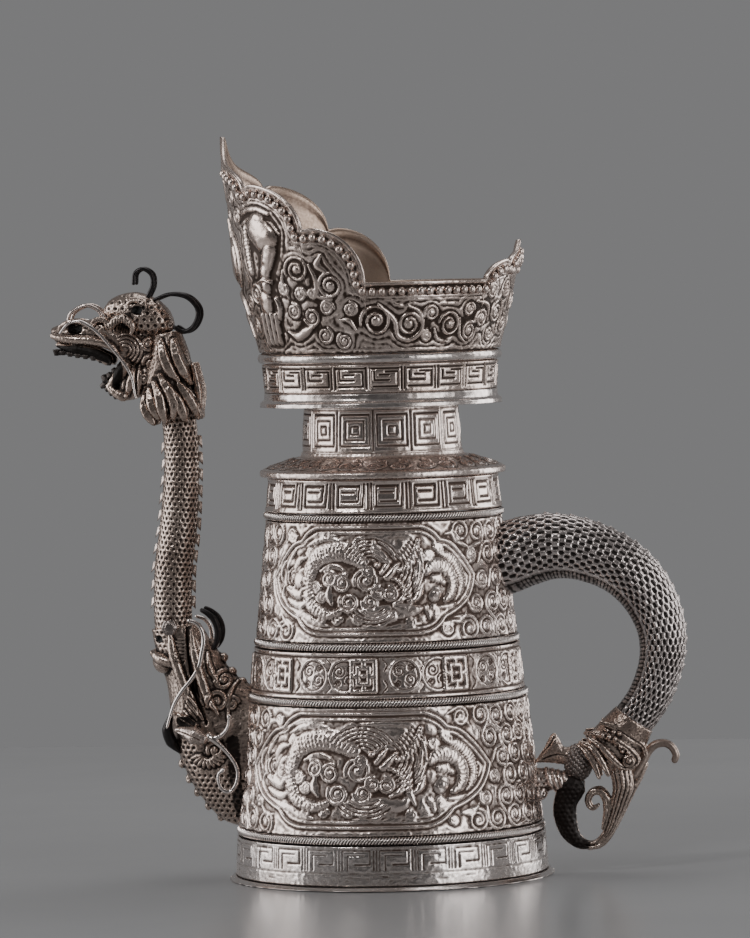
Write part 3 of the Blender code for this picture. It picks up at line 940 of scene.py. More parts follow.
def key_fret(relief: Relief, cells: int, margin: tuple[float, float], paths: Sequence[Points],
             radius: float, depth: float) -> None:
    """Cut the same square pattern into every cell of a band.

    Args:
        relief: the band.
        cells: how many cells go once round the pattern.
        margin: how far the cells stay from the lower and the upper edge.
        paths: grooves in a unit square.
        radius: half a groove's width.
        depth: its depth.
    """
    pitch = relief.length / cells
    low = relief.low + margin[0]
    tall = (relief.rows - 1) * relief.cell_z - margin[0] - margin[1]
    for path in paths:
        runs = [polyline([((cell + u) * pitch, low + v * tall) for u, v in path]) for cell in range(cells)]
        relief.groove(np.vstack(runs), radius, depth)


def rings(relief: Relief, heights: Iterable[float], radius: float, lift: float) -> None:
    """Draw lines once round a band: raised where lift is positive, cut where it is negative.

    Args:
        relief: the height field that is drawn on.
        heights: the heights of the lines.
        radius: the radius in millimetres.
        lift: how high they are raised.
    """
    for z in heights:
        path = spline(((0.0, z), (relief.length, z)), 0.3)
        if lift > 0:
            relief.ridge(path, radius, lift)
        else:
            relief.groove(path, radius, -lift)


FOOT_KEY = (((0.06, 0.0), (0.06, 1.0), (0.80, 1.0), (0.80, 0.30), (0.40, 0.30)),
            ((0.20, 0.0), (0.20, 0.76), (0.62, 0.76)), ((0.90, 0.0), (0.90, 1.0)), ((0.98, 0.0), (0.98, 1.0)))
CROWN_KEY = (((0.10, 0.10), (0.80, 0.10), (0.80, 0.82), (0.44, 0.82)),
             ((0.14, 0.84), (0.14, 0.42), (0.56, 0.42)), ((0.28, 0.66), (0.56, 0.66)),
             ((0.90, 0.0), (0.90, 1.0)), ((1.0, 0.0), (1.0, 1.0)), ((0.06, 0.97), (0.84, 0.97)))
SHOULDER_KEY = (((0.06, 0.08), (0.74, 0.08), (0.78, 0.98)), ((0.10, 0.16), (0.10, 0.90), (0.66, 0.90)),
                ((0.20, 0.30), (0.62, 0.30), (0.66, 0.90)), ((0.20, 0.66), (0.52, 0.66)),
                ((0.87, 0.0), (0.87, 1.0)), ((0.97, 0.0), (0.97, 1.0)))
NECK_KEY = (((0.07, 0.12), (0.07, 0.92), (0.86, 0.92), (0.86, 0.12), (0.07, 0.12)),
            ((0.22, 0.27), (0.22, 0.77), (0.72, 0.77), (0.72, 0.27), (0.22, 0.27)),
            ((0.37, 0.42), (0.37, 0.62), (0.57, 0.62), (0.57, 0.42), (0.37, 0.42)), ((0.96, 0.0), (0.96, 1.0)))


def draw_plain(band: Band, relief: Relief) -> None:
    """A plain piece, only a little uneven from the hammer.

    Args:
        band: not used.
        relief: the height field that is drawn on.
    """
    relief.matted(0.03, SEED + 9)
    rng = np.random.default_rng(SEED)
    dents = blurred(rng.standard_normal(relief.height.shape), 9.0)
    relief.height += 0.08 * dents / dents.std()


def draw_foot(band: Band, relief: Relief) -> None:
    """The foot: engraved key fret between two engraved lines, and scuffs under it.

    Args:
        band: the band that is drawn.
        relief: the height field that is drawn on.
    """
    key_fret(relief, 26, (6.4, 1.6), FOOT_KEY, 0.42, 0.32)
    rings(relief, (band.low + 5.2, band.high - 0.7), 0.35, -0.2)
    rng = np.random.default_rng(SEED)
    for s, z in rng.uniform((0, band.low + 1.5), (band.length, band.low + 4.5), (60, 2)):
        relief.groove(spline(((s, z), (s + rng.uniform(2, 6), z + rng.uniform(-0.4, 0.4))), 0.3), 0.4, 0.12)
    draw_plain(band, relief)


def draw_shoulder(band: Band, relief: Relief) -> None:
    """The shoulder: raised squares between ribs.

    Args:
        band: the band that is drawn.
        relief: the height field that is drawn on.
    """
    key_fret(relief, 19, (2.0, 1.6), SHOULDER_KEY, 0.6, 0.75)
    rings(relief, (band.low + 0.7, band.high - 0.5), 0.7, 0.35)
    relief.matted(0.03, SEED + 1)


def draw_crown_fret(band: Band, relief: Relief) -> None:
    """The crown's fret: a raised running key."""
    key_fret(relief, 21, (1.4, 1.2), CROWN_KEY, 0.52, 0.8)
    relief.matted(0.03, SEED + 2)


def draw_neck(band: Band, relief: Relief) -> None:
    """The neck: concentric squares.

    Args:
        band: the band that is drawn.
        relief: the height field that is drawn on.
    """
    key_fret(relief, 13, (2.8, 1.6), NECK_KEY, 0.48, 0.45)
    rings(relief, (band.low + 1.2, band.low + 2.2, band.high - 0.8), 0.4, -0.25)
    draw_plain(band, relief)


def draw_middle(band: Band, relief: Relief) -> None:
    """The middle band: a raised square knot and two engraved medallions in each field.

    Args:
        band: the band that is drawn.
        relief: the height field that is drawn on.
    """
    z = (band.low + band.high) / 2
    rings(relief, (band.low + 0.6, band.high - 0.6), 0.7, 0.4)
    rings(relief, (band.low + 1.9, band.high - 1.9), 0.35, -0.25)
    s = -5.0
    for half_s, half_z in ((5.0, 6.4), (2.4, 3.4)):
        corners = [(s - half_s, z - half_z), (s + half_s, z - half_z), (s + half_s, z + half_z),
                   (s - half_s, z + half_z), (s - half_s, z - half_z)]
        relief.ridge(polyline(corners), 1.1, 1.0, 0.35)
    for ds, dz in ((0, 0), (0, 4.9), (0, -4.9), (3.7, 0), (-3.7, 0)):
        relief.ridge(np.array([(s + ds, z + dz)]), 1.3, 1.1)
    for middle, hand in ((12.5, 1), (27.0, -1)):
        turn = np.linspace(0, 2 * math.pi, 90)
        ring = np.stack([middle + 6.7 * np.cos(turn), z + 6.9 * np.sin(turn)], 1)
        relief.ridge(ring, 0.6, 0.5)
        relief.groove(ring * (1, 1) + (ring - (middle, z)) * -0.14, 0.3, 0.25)
        for ds, dz, r, start in ((-2.2, 1.8, 2.7, 40), (2.4, -1.9, 2.7, 220), (2.6, 3.0, 1.5, 0),
                (-2.8, -3.2, 1.5, 180)):
            path = volute_path(middle + ds, z + dz, r, start, hand)
            relief.groove(path, 0.4, 0.4)
    for middle in (4.0, 19.7, 33.6):
        for way in (-1, 1):
            relief.groove(spline(((middle, z + way * 2), (middle + 1.2, z + way * 4.5), (middle - 0.8, z + way * 7)),
                                 0.3), 0.4, 0.35)
    relief.matted(0.04, SEED + 4)


def draw_cone(band: Band, relief: Relief) -> None:
    """The shoulder plate: its rim is plain and its cone has leaf scrolls.

    Args:
        band: the band that is drawn.
        relief: the height field that is drawn on.
    """
    cone = band.high - 17.55
    count = 26
    for k in range(count):
        s = k * band.length / count
        relief.volute(s, cone + 4.2, 3.6, 90, 1 if k % 2 else -1, 0.75, 0.75, 1.8)
        relief.stroke(((s + 3, cone + 2), (s + 6.5, cone + 6), (s + 5, cone + 10.5)), (0.3, 1.1, 0.3), 0.5)
        relief.volute(s + 4, cone + 10.2, 3.0, 270, -1 if k % 2 else 1, 0.7, 0.7, 1.8)
    rings(relief, (cone - 0.6, band.high - 3.4), 0.6, 0.35)
    relief.matted(0.035, SEED + 5)


# ------------------------------------------------------------------------------ dragon cartouches

@dataclass(frozen=True)
class Stroke:
    """One chased stroke: its points, its half widths along it and its height."""

    points: Points
    widths: Sequence[float]
    height: float = 0.9


@dataclass(frozen=True)
class Curl:
    """One chased spiral."""

    s: float
    z: float
    radius: float
    start: float = 90.0
    hand: int = 1
    height: float = 0.9


RIGHT_TOP = (((0, 24.5), (14, 24.5), (27, 24.5), (31, 23.8), (35.5, 21.5), (38.8, 18.3)),
             ((38.8, 18.3), (45, 16.5), (51, 11.5), (55.5, 6.5), (59.4, 1.5)))
RIGHT_LOW = (((59.4, 1.5), (57, -4), (53, -9), (47, -13), (39.3, -16.2)),
             ((39.3, -16.2), (36, -19.6), (32, -22), (26, -23.2), (13, -23.2), (0, -23.2)))

DRAGON = (
    Stroke(((-3, 9), (-8, 12), (-15, 14), (-23, 13), (-29, 10), (-33, 4), (-34, -3), (-31, -10), (-26, -13),
            (-20, -14.5), (-15, -13)), (2.6, 3.6, 4.0, 4.0, 3.8, 3.4, 3.2, 3.0, 2.6, 2.2, 1.4), 1.7),
    Stroke(((-35, 16), (-29, 18.5), (-22, 19.5), (-15, 18), (-10, 14)), (0.4, 1.3, 1.4, 1.2, 0.5)),
    Stroke(((-40, 16.5), (-34, 19.5), (-26, 21.3), (-17, 20.8)), (0.4, 0.9, 0.9, 0.4), 0.6),
    Stroke(((-47, -3), (-43, -4.5), (-39, -5.5), (-36, -3)), (1.4, 2.3, 2.3, 1.5), 1.3),
    Stroke(((-47, -7.5), (-43, -9.5), (-38.5, -10.5), (-34.5, -9)), (0.6, 1.5, 1.6, 0.8), 1.0),
    Stroke(((-44, -12.0), (-39, -14), (-33, -15.5), (-28, -18), (-21, -19.5)), (0.4, 1.2, 1.3, 1.2, 0.4), 0.8),
    Stroke(((-45, 0), (-44, 5), (-40, 10), (-35, 11)), (0.5, 1.6, 1.6, 0.5)),
    Stroke(((-49, 4), (-48, 9), (-43, 14)), (0.5, 1.3, 0.4)),
    Stroke(((-53, 0), (-54, 5), (-51, 9)), (0.4, 1.0, 0.4)),
    Stroke(((-50.5, -2), (-52, -6), (-48, -9.5)), (0.4, 1.1, 0.4)),
    Stroke(((-41, 1), (-38.5, 4.5), (-36, 6)), (0.6, 1.3, 0.6)),
    Stroke(((-20.5, -2.5), (-21, -6), (-19, -10)), (0.8, 1.8, 0.6), 1.1),
    Stroke(((-26, 5), (-21, 7), (-15, 6.5), (-11, 4)), (0.5, 1.2, 1.2, 0.5), 0.7),
    Stroke(((4, -12.5), (11, -13.5), (17, -14), (19.5, -12)), (1.8, 2.5, 2.5, 1.4), 1.4),
    Stroke(((-7, -13), (-2, -12.5), (4, -14.5)), (0.5, 1.6, 1.2), 1.1),
    Stroke(((12, 1.5), (16, 0), (18.5, -4), (17, -8), (13, -10)), (0.8, 1.2, 1.3, 1.2, 0.8), 1.4),
    Stroke(((10, 2), (13, 5), (16, 8)), (1.5, 1.4, 0.7), 1.5),
    Stroke(((7, 4), (9.5, 7), (11.5, 9.5)), (1.0, 1.2, 0.5), 1.3),
    Stroke(((16, 5), (21, 7), (25, 13), (27, 18)), (1.1, 1.7, 1.8, 1.0), 1.4),
    Stroke(((28, 14), (27.5, 7), (25.5, 0), (25.5, -6), (23, -9)), (0.7, 2.0, 2.4, 2.1, 0.8), 1.5),
    Stroke(((21.5, 2), (20.5, -3), (21, -9), (23, -14)), (0.6, 1.4, 1.5, 0.5), 1.1),
    Stroke(((30, 4), (34, 6.5), (39, 6.5), (43.5, 3), (45, -2), (43.5, -6.5), (40, -9)),
           (1.6, 2.6, 2.9, 2.9, 2.6, 2.2, 1.2), 1.4),
    Stroke(((34.5, 1), (37.5, 0.5), (40, -1)), (1.6, 2.0, 1.2), 1.1),
    Stroke(((34, -7), (35.5, -5)), (2.4, 2.4), 1.3),
    Stroke(((37, 13), (44, 10), (49, 5), (51, -1), (49, -6), (46, -9)), (0.6, 1.9, 2.1, 2.1, 1.7, 0.5), 0.9),
    Stroke(((29, -12), (30.5, -14.5), (31, -17)), (1.5, 1.6, 0.6)),
    Stroke(((-4, 17), (-6, 15.6), (-7, 14)), (0.9, 1.0, 0.5)),
    Stroke(((35, 16.5), (38, 15.5), (41, 13.2)), (0.5, 1.1, 0.4)),
    Stroke(((37, -12), (41, -12), (45.5, -10.8)), (0.5, 1.1, 0.4)),
    Stroke(((-3, -19.8), (6, -20.6), (16, -19.8), (26, -19.0)), (0.4, 1.0, 1.1, 0.5), 0.6),
    Stroke(((53, 2.5), (54.6, 0), (52.8, -3.5)), (0.4, 1.1, 0.4), 0.7),
    Curl(-21, 1.5, 3.5, 120, -1), Curl(-13.5, -0.5, 3.8, 60), Curl(-10, -9, 4.2, 150, 1, 1.1),
    Curl(-29, -2, 2.6, 0, -1), Curl(-25, -6.5, 2.3, 180), Curl(-5, -16.5, 2.2, 90), Curl(1, -17, 2.2, 90, -1),
    Curl(7, -17.5, 2.3, 90), Curl(-1, 0.5, 5.2, 200, -1, 1.2), Curl(5.5, -5, 3.0, 90, 1, 1.5),
    Curl(11, -5.5, 3.2, 90, -1, 1.5), Curl(1, -9, 3.5, 180, 1, 1.2), Curl(0, 4.5, 2.6, 270, 1, 1.4),
    Curl(-4, 17, 3.0, 180, -1), Curl(32, 11, 2.2, 0), Curl(38, 14.5, 1.8, 180, -1), Curl(34, -13.5, 2.2, 90),
    Curl(-16, -17.0, 2.0, 0), Curl(-33, 13.6, 1.9, 200), Curl(21.5, -18.2, 1.9, 120), Curl(-38.5, -0.5, 2.6, 30),
    Curl(-24.5, -17, 1.7, 200, -1), Curl(-12, 14.5, 1.6, 0),
)
LOBES = (
    Stroke(((-10, 16), (-3, 15.5), (4, 13), (9, 9)), (3.5, 5.2, 5.2, 3.0), 0.62),
    Stroke(((10, 17), (18, 15), (21.5, 8), (20, 0), (16, -6)), (3.0, 5.2, 5.6, 5.0, 3.0), 0.66),
    Stroke(((-15, -12), (-5, -15), (4, -17), (13, -17.5)), (2.0, 4.2, 4.6, 3.2), 0.62),
    Stroke(((-7, -2), (2, -1), (10, -2)), (4.0, 6.2, 4.5), 0.55),
    Stroke(((-46, 9), (-42, 3), (-43, -5)), (2.6, 4.4, 3.6), 0.6),
    Stroke(((30, -2), (35, -4), (39, -6)), (3.2, 4.4, 3.0), 0.6),
    Stroke(((-40, -12), (-31, -17), (-22, -19)), (1.6, 3.4, 3.0), 0.6),
    Stroke(((22, -14), (30, -15.5), (39, -13)), (2.6, 3.8, 2.2), 0.55),
    Stroke(((-30, 17), (-22, 17), (-14, 19)), (2.4, 3.0, 2.0), 0.55),
)
UPPER_DRAGON = (
    Stroke(((-7, 18), (-6.5, 14), (-4, 11), (-2, 9.5)), (0.6, 2.1, 2.2, 0.9), 1.3),
    Stroke(((3, 18.5), (4, 14.5), (7, 11.5), (11, 9)), (0.6, 2.2, 2.3, 0.9), 1.3),
    Stroke(((-3, -13), (4, -15), (12, -15.5)), (1.2, 3.4, 2.2), 1.5),
    Stroke(((14, -11), (20, -13), (26, -12.5)), (1.4, 2.8, 1.2), 1.4),
    Stroke(((-39.5, 0.5), (-38, 0.5)), (3.4, 3.4), 1.4),
)
EYES = ((5, 7.5, 1.5), (5.5, -5, 1.0), (11, -5.5, 1.1), (35, -6, 2.2))


def outline_paths(inset: float) -> list[np.ndarray]:
    """The cartouche's outline, drawn in by an inset, as four splines and their mirrors.

    Args:
        inset: how far the outline is drawn in.

    Returns:
        The four splines.
    """
    paths = []
    for line in (*RIGHT_TOP, *RIGHT_LOW):
        for side in (1, -1):
            shrunk = [(side * s * (1 - inset / 59.4), z * (1 - inset / 24.5)) for s, z in line]
            paths.append(spline(shrunk, 0.3))
    return paths


@dataclass
class Panel(Band):
    """A tall band with a dragon cartouche at its front and back, and scrolls between them."""

    centre: tuple[float, float] = (-7.0, 50.0)
    scale: tuple[float, float] = (1.0, 1.0)
    upper: bool = False

    def at(self, s: Any, z: Any) -> tuple[Any, Any]:
        """A place of the cartouche's own drawing on the band."""
        return self.centre[0] + s * self.scale[0], self.centre[1] + z * self.scale[1]

    def path(self, local: np.ndarray) -> np.ndarray:
        """A drawn path on the band."""
        return np.stack(self.at(local[:, 0], local[:, 1]), 1)

    def chase(self, relief: Relief, marks: Iterable[Stroke | Curl]) -> None:
        """Raise the marks of the drawing.

        Args:
            relief: the height field that is drawn on.
            marks: the marks to raise.
        """
        for mark in marks:
            if isinstance(mark, Curl):
                s, z = self.at(mark.s, mark.z)
                relief.volute(s, z, 1.1 * mark.radius * self.scale[1], mark.start, mark.hand, mark.height, 0.85, 2.0)
            else:
                points = [self.at(s, z) for s, z in mark.points]
                relief.stroke(points, [1.22 * w * self.scale[1] for w in mark.widths], mark.height)

    def hair(self, relief: Relief) -> None:
        """The combed hair over the brow, and the cross cuts on the horn, the body and the mane.

        Args:
            relief: the height field that is drawn on.
        """
        for line, pitch, reach, depth in ((DRAGON[0].points, 2.1, 3.0, 0.3), (DRAGON[18].points, 1.5, 1.6, 0.4),
                                          (DRAGON[24].points, 1.5, 1.9, 0.4), (DRAGON[21].points, 2.2, 2.4, 0.3)):
            curve = spline([(*p, 0.0) for p in line], pitch)[:, :2]
            way = np.gradient(curve, axis=0)
            way /= np.linalg.norm(way, axis=1, keepdims=True)
            for point, (ts, tz) in zip(curve[1:-1], way[1:-1]):
                ends = (point + reach * np.array((-tz, ts)), point + 0.5 * np.array((ts, tz)),
                        point - reach * np.array((-tz, ts)))
                relief.groove(self.path(spline(ends, 0.3)), 0.28, depth)

    def combed(self, relief: Relief) -> None:
        """The combed locks between the strokes, as curved cuts.

        Args:
            relief: the height field that is drawn on.
        """
        for s, z, radii, start, end in ((1, 7.0, (4, 13.5), 28, 152), (8.5, 6.0, (7, 17), -62, 48),
                                        (2, -8, (6, 12.5), 215, 320), (-43, 2, (2, 6), 100, 260)):
            for radius in np.arange(*radii, 1.65):
                angle = np.radians(np.linspace(start, end, 40))
                comb = np.stack([s + 1.25 * radius * np.cos(angle), z + radius * np.sin(angle)], 1)
                relief.groove(self.path(comb), 0.55, 0.5)

    def scrolls(self, relief: Relief, edge: np.ndarray) -> None:
        """Fill what the cartouche leaves with tendrils that curl alternately.

        Args:
            relief: the height field that is drawn on.
            edge: the outline to keep clear of.
        """
        rng = np.random.default_rng(SEED + int(self.upper))
        pitch_s, pitch_z = 10.8, 9.6
        rows = int((self.high - self.low - 4) / pitch_z) + 1
        columns = round(self.length / pitch_s)
        for row in range(rows):
            for column in range(columns):
                s = (column + 0.5 * (row % 2)) * self.length / columns + rng.uniform(-0.8, 0.8)
                z = self.low + 5.0 + row * (self.high - self.low - 10.0) / (rows - 1) + rng.uniform(-0.6, 0.6)
                ds = (edge[:, 0] - s + self.length / 2) % self.length - self.length / 2
                room = np.hypot(ds, edge[:, 1] - z).min() - 1.2
                local_s = (s - self.centre[0] + self.length / 2) % self.length - self.length / 2
                if self.inside(local_s, z - self.centre[1]) or room < 1.7:
                    continue
                radius, hand = min(room, 5.0), 1 if (row + column) % 2 else -1
                start = rng.uniform(0, 360)
                relief.volute(s, z, radius, start, hand, 1.0, 0.8, 2.0)
                turn = math.radians(start)
                tail = [(s + radius * math.cos(turn), z + radius * math.sin(turn)),
                    (s + 1.25 * radius * math.cos(turn - 0.6 * hand),
                    z + 1.25 * radius * math.sin(turn - 0.6 * hand)),
                    (s + 1.7 * radius * math.cos(turn - 0.9 * hand), z + 1.7 * radius * math.sin(turn - 0.9 * hand))]
                if room > 3.5:
                    relief.stroke(tail, (0.7, 0.9, 0.3), 0.95)

    def inside(self, s: float, z: float) -> bool:
        """Whether a place measured from the cartouche's middle lies in it.

        Args:
            s: the place round the piece.
            z: the height of the place.

        Returns:
            True where it lies inside.
        """
        s, z = abs(s / self.scale[0]), z / self.scale[1]
        lines = RIGHT_TOP if z > 1.5 else RIGHT_LOW
        outline = np.array([p for line in lines for p in line], float)
        if z <= 1.5:
            outline = outline[::-1]
        return s < 59.4 and abs(z) < abs(np.interp(s, outline[:, 0], outline[:, 1]))

    def chased(self, relief: Relief) -> None:
        """Draw the whole panel.

        Args:
            relief: the height field that is drawn on.
        """
        edge = [self.path(p) for p in outline_paths(0.0)]
        self.scrolls(relief, np.vstack(edge))
        for path in edge:
            relief.groove(path, 2.6, 0.25)
        for path in edge:
            relief.ridge(path, 0.85, 1.15)
        for path in outline_paths(2.4):
            relief.ridge(self.path(path), 0.7, 0.85)
        for side in (-1, 1):
            for s, z, way in ((42.5, 20.5, 1), (43, -18.5, -1)):
                top = [self.at(side * a, b) for a, b in ((s, z), (s + 5, z + 0.2 * way), (s + 9, z - 3.5 * way))]
                relief.stroke(top, (0.6, 1.3, 0.3), 0.8)
        self.chase(relief, LOBES)
        self.chase(relief, DRAGON)
        self.hair(relief)
        if self.upper:
            self.chase(relief, UPPER_DRAGON)
        relief.echoed(0.5, 1.8, 0.16)
        self.combed(relief)
        for index, reach, count in ((0, 4.2, 420), (22, 3.2, 160), (25, 2.4, 160)):
            line = spline([(*p, 0.0) for p in DRAGON[index].points], 0.4)[:, :2]
            relief.stippled(self.path(line), reach, count)
        for s, z, radius in EYES:
            s, z = self.at(s, z)
            relief.ridge(np.array([(s, z)]), radius, 1.9)
        rings(relief, (self.low + 0.8, self.high - 0.8), 0.7, 0.5)
        relief.matted(0.05, SEED + 6)


def draw_panel(band: Band, relief: Relief) -> None:
    """Draw a cartouche panel."""
    band.chased(relief)


# ------------------------------------------------------------------------------ rope wires

@dataclass
class RopeWires:
    """The twisted wires on the joints: each is a ring of leaning strands."""

    pitch: float = 1.35
    lean: float = 40.0
    nodes: tuple[str, ...] = ("foot_rope_wire", "lower_rope_wire", "middle_rope_wire", "upper_rope_wire")

    def build(self) -> None:
        """Set the strands round each joint."""
        strands = Repeats("rope_strands", "GeometryNodeMeshUVSphere", {"Segments": 8, "Rings": 5, "Radius": 1.0})
        lean = math.radians(self.lean)
        for node in self.nodes:
            low, high, *_ = node_ring(node)
            outer = max(np.hypot(v.co.x, v.co.y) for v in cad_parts[node].data.vertices) / MM
            half = (high - low) / 2
            ring = outer - half
            count = round(2 * math.pi * ring / self.pitch)
            turn = around(count)
            zero = np.zeros(count)
            out = np.stack([np.sin(turn), -np.cos(turn), zero], 1)
            along = np.stack([np.cos(turn), np.sin(turn), zero], 1)
            up = np.stack([zero, zero, zero + 1], 1)
            places = out * ring + up * (low + high) / 2
            strand = up * math.cos(lean) + along * math.sin(lean)
            frames = axes_from(strand, out)
            sizes = np.tile((half / math.cos(lean), 0.52 * self.pitch, half), (count, 1))
            piece = strands.spread(node + "_twist", places, frames, sizes, Finish.RUBBED)
            points, *_ = read_mesh(piece.data)
            core = np.hypot(np.hypot(points[:, 0], points[:, 1]) - ring, points[:, 2] - (low + high) / 2)
            darken(piece.data, np.clip(0.1 + 5.0 * (0.96 - core / half), 0, 1))
            add_piece(piece, Finish.RUBBED, node)


# ------------------------------------------------------------------------------ the crown

FLARE = ((226.6, 52.2), (243.8, 56.8), (261.0, 60.6), (282.5, 63.2), (308.3, 66.2), (320.0, 67.0))
CROWN_CURLS = (
    Curl(-30, 262, 6, 200, -1), Curl(-15, 255, 5.5, 90), Curl(-29.5, 251.5, 3, 0), Curl(-34.5, 244.5, 3.5, 90, -1),
    Curl(-25.5, 242, 4, 200), Curl(-7, 245, 3, 90, -1), Curl(-17.5, 245.5, 3.2, 0), Curl(-11, 231.5, 3.5, 120),
    Curl(-20, 234, 3.6, 60, -1), Curl(4, 239.5, 7, 190, -1, 1.1), Curl(19, 238, 5, 20), Curl(29, 242.5, 3.5, 200, -1),
    Curl(27.5, 233, 2.5, 90), Curl(38.5, 237.5, 5.5, 170, -1, 1.1), Curl(49, 243.5, 3, 0), Curl(50.5, 234.5, 4, 60),
    Curl(57.5, 239.5, 4, 200, -1), Curl(69, 242, 4.5, 90), Curl(66, 233, 3, 0, -1), Curl(63, 251, 3.2, 40),
    Curl(79, 237, 4.0, 90, -1), Curl(76, 252, 3.6, 200), Curl(86, 246, 3.4, 90), Curl(-67, 248, 3.4, 0),
    Curl(-66, 238, 3.6, 90, -1), Curl(-44, 233, 2.4, 0), Curl(-66, 285, 3.6, 30), Curl(-71, 293, 3.4, 200, -1),
    Curl(-80, 286, 4.0, 90), Curl(-75, 303, 3.2, 30, -1), Curl(-38, 254, 3.0, 90), Curl(-23.5, 252, 2.2, 10, -1),
)
CROWN_STROKES = (Stroke(((-18, 268), (-20, 264), (-16.5, 261)), (0.5, 1.8, 0.8)),
    Stroke(((5, 247), (12, 240), (14, 233), (20, 231.5), (25, 236), (23.5, 243), (18, 246)),
    (0.6, 1.1, 1.1, 1.0, 0.9, 0.6)), Stroke(((-24, 264), (-21.5, 258), (-21, 251), (-15, 249.2)),
    (0.5, 1.0, 1.0, 0.5)), Stroke(((-37, 262), (-38.5, 256), (-36, 250)), (0.5, 1.1, 0.5)),
    Stroke(((-40, 236), (-35, 233.5), (-30, 235.5), (-25, 238)), (0.4, 1.8, 1.9, 0.4), 1.2),
    Stroke(((-5, 236), (-8, 240), (-12.5, 240.5)), (0.5, 1.1, 0.4)),
    Stroke(((31, 236), (33, 231.5), (39, 230)), (0.5, 1.0, 0.4)),
    Stroke(((12, 246.5), (17, 245.5)), (0.8, 0.8), 0.6), Stroke(((33, 246.5), (42, 246.0)), (0.8, 1.0), 0.6),
    Stroke(((44, 240), (45, 233), (49, 229.6)), (0.5, 1.0, 0.4)),
    Stroke(((53, 247), (61, 245), (63, 238)), (0.5, 1.0, 0.4)),
    Stroke(((73, 247), (74.5, 240), (72, 233)), (0.5, 1.1, 0.4)),)
ARM_STROKES = (
    Stroke(((-43, 271), (-45, 266), (-47, 262)), (4.2, 3.8, 3.2), 2.6),
    Stroke(((-47, 262), (-48.2, 257), (-48.5, 254)), (3.2, 2.6, 2.4), 2.4),
    Stroke(((-51, 249), (-51.4, 246)), (4.6, 4.6), 2.3),
    *(Stroke(((s + 0.6, 243), (s, 237), (s - 0.4, 231)), (1.4, 1.4, 1.1), 2.0) for s in (-56, -52.6, -49.2, -46)),
    Stroke(((-43.5, 250), (-42.5, 246), (-43.5, 241.5)), (1.0, 1.3, 0.9), 1.6),
    Stroke(((-58.5, 262), (-59.5, 271), (-58.5, 280)), (2.4, 2.8, 1.6), 1.6),
    Stroke(((-52.5, 256.5), (-48, 258), (-44.5, 257)), (0.8, 1.0, 0.8), 3.0),
    Stroke(((-60.5, 286.5), (-56, 287.8), (-50, 288), (-46, 287.2), (-42, 286)), (1.2, 1.3, 1.3, 1.3, 1.1), 0.8),
    Stroke(((-62, 281.5), (-55, 284), (-48, 284.4), (-41, 282), (-36.6, 277)), (0.6, 0.8, 0.8, 0.8, 0.5), 1.0),
)
FRONT_JEWEL = (
    Stroke(((-91, 262), (-91, 272)), (7, 4), 2.6), Stroke(((-91, 274), (-91, 284)), (3.5, 1.2), 2.0),
    Stroke(((-82, 258), (-79, 264), (-80, 271), (-86, 276)), (1.2, 2.0, 2.0, 0.6), 1.8),
    Stroke(((-76, 255), (-72, 262), (-73, 271), (-79, 279)), (1.0, 1.8, 1.8, 0.5), 1.4),
    Stroke(((-91, 252), (-84, 251), (-77, 248), (-72, 243)), (2.2, 2.4, 2.0, 0.8), 1.8),
    Stroke(((-91, 243), (-84, 242), (-78, 238), (-74, 233)), (2.2, 2.2, 1.6, 0.6), 1.4),
    Stroke(((-91, 290), (-87, 296), (-85, 303), (-91, 310)), (0.8, 1.4, 1.4, 0.5), 1.2),
)


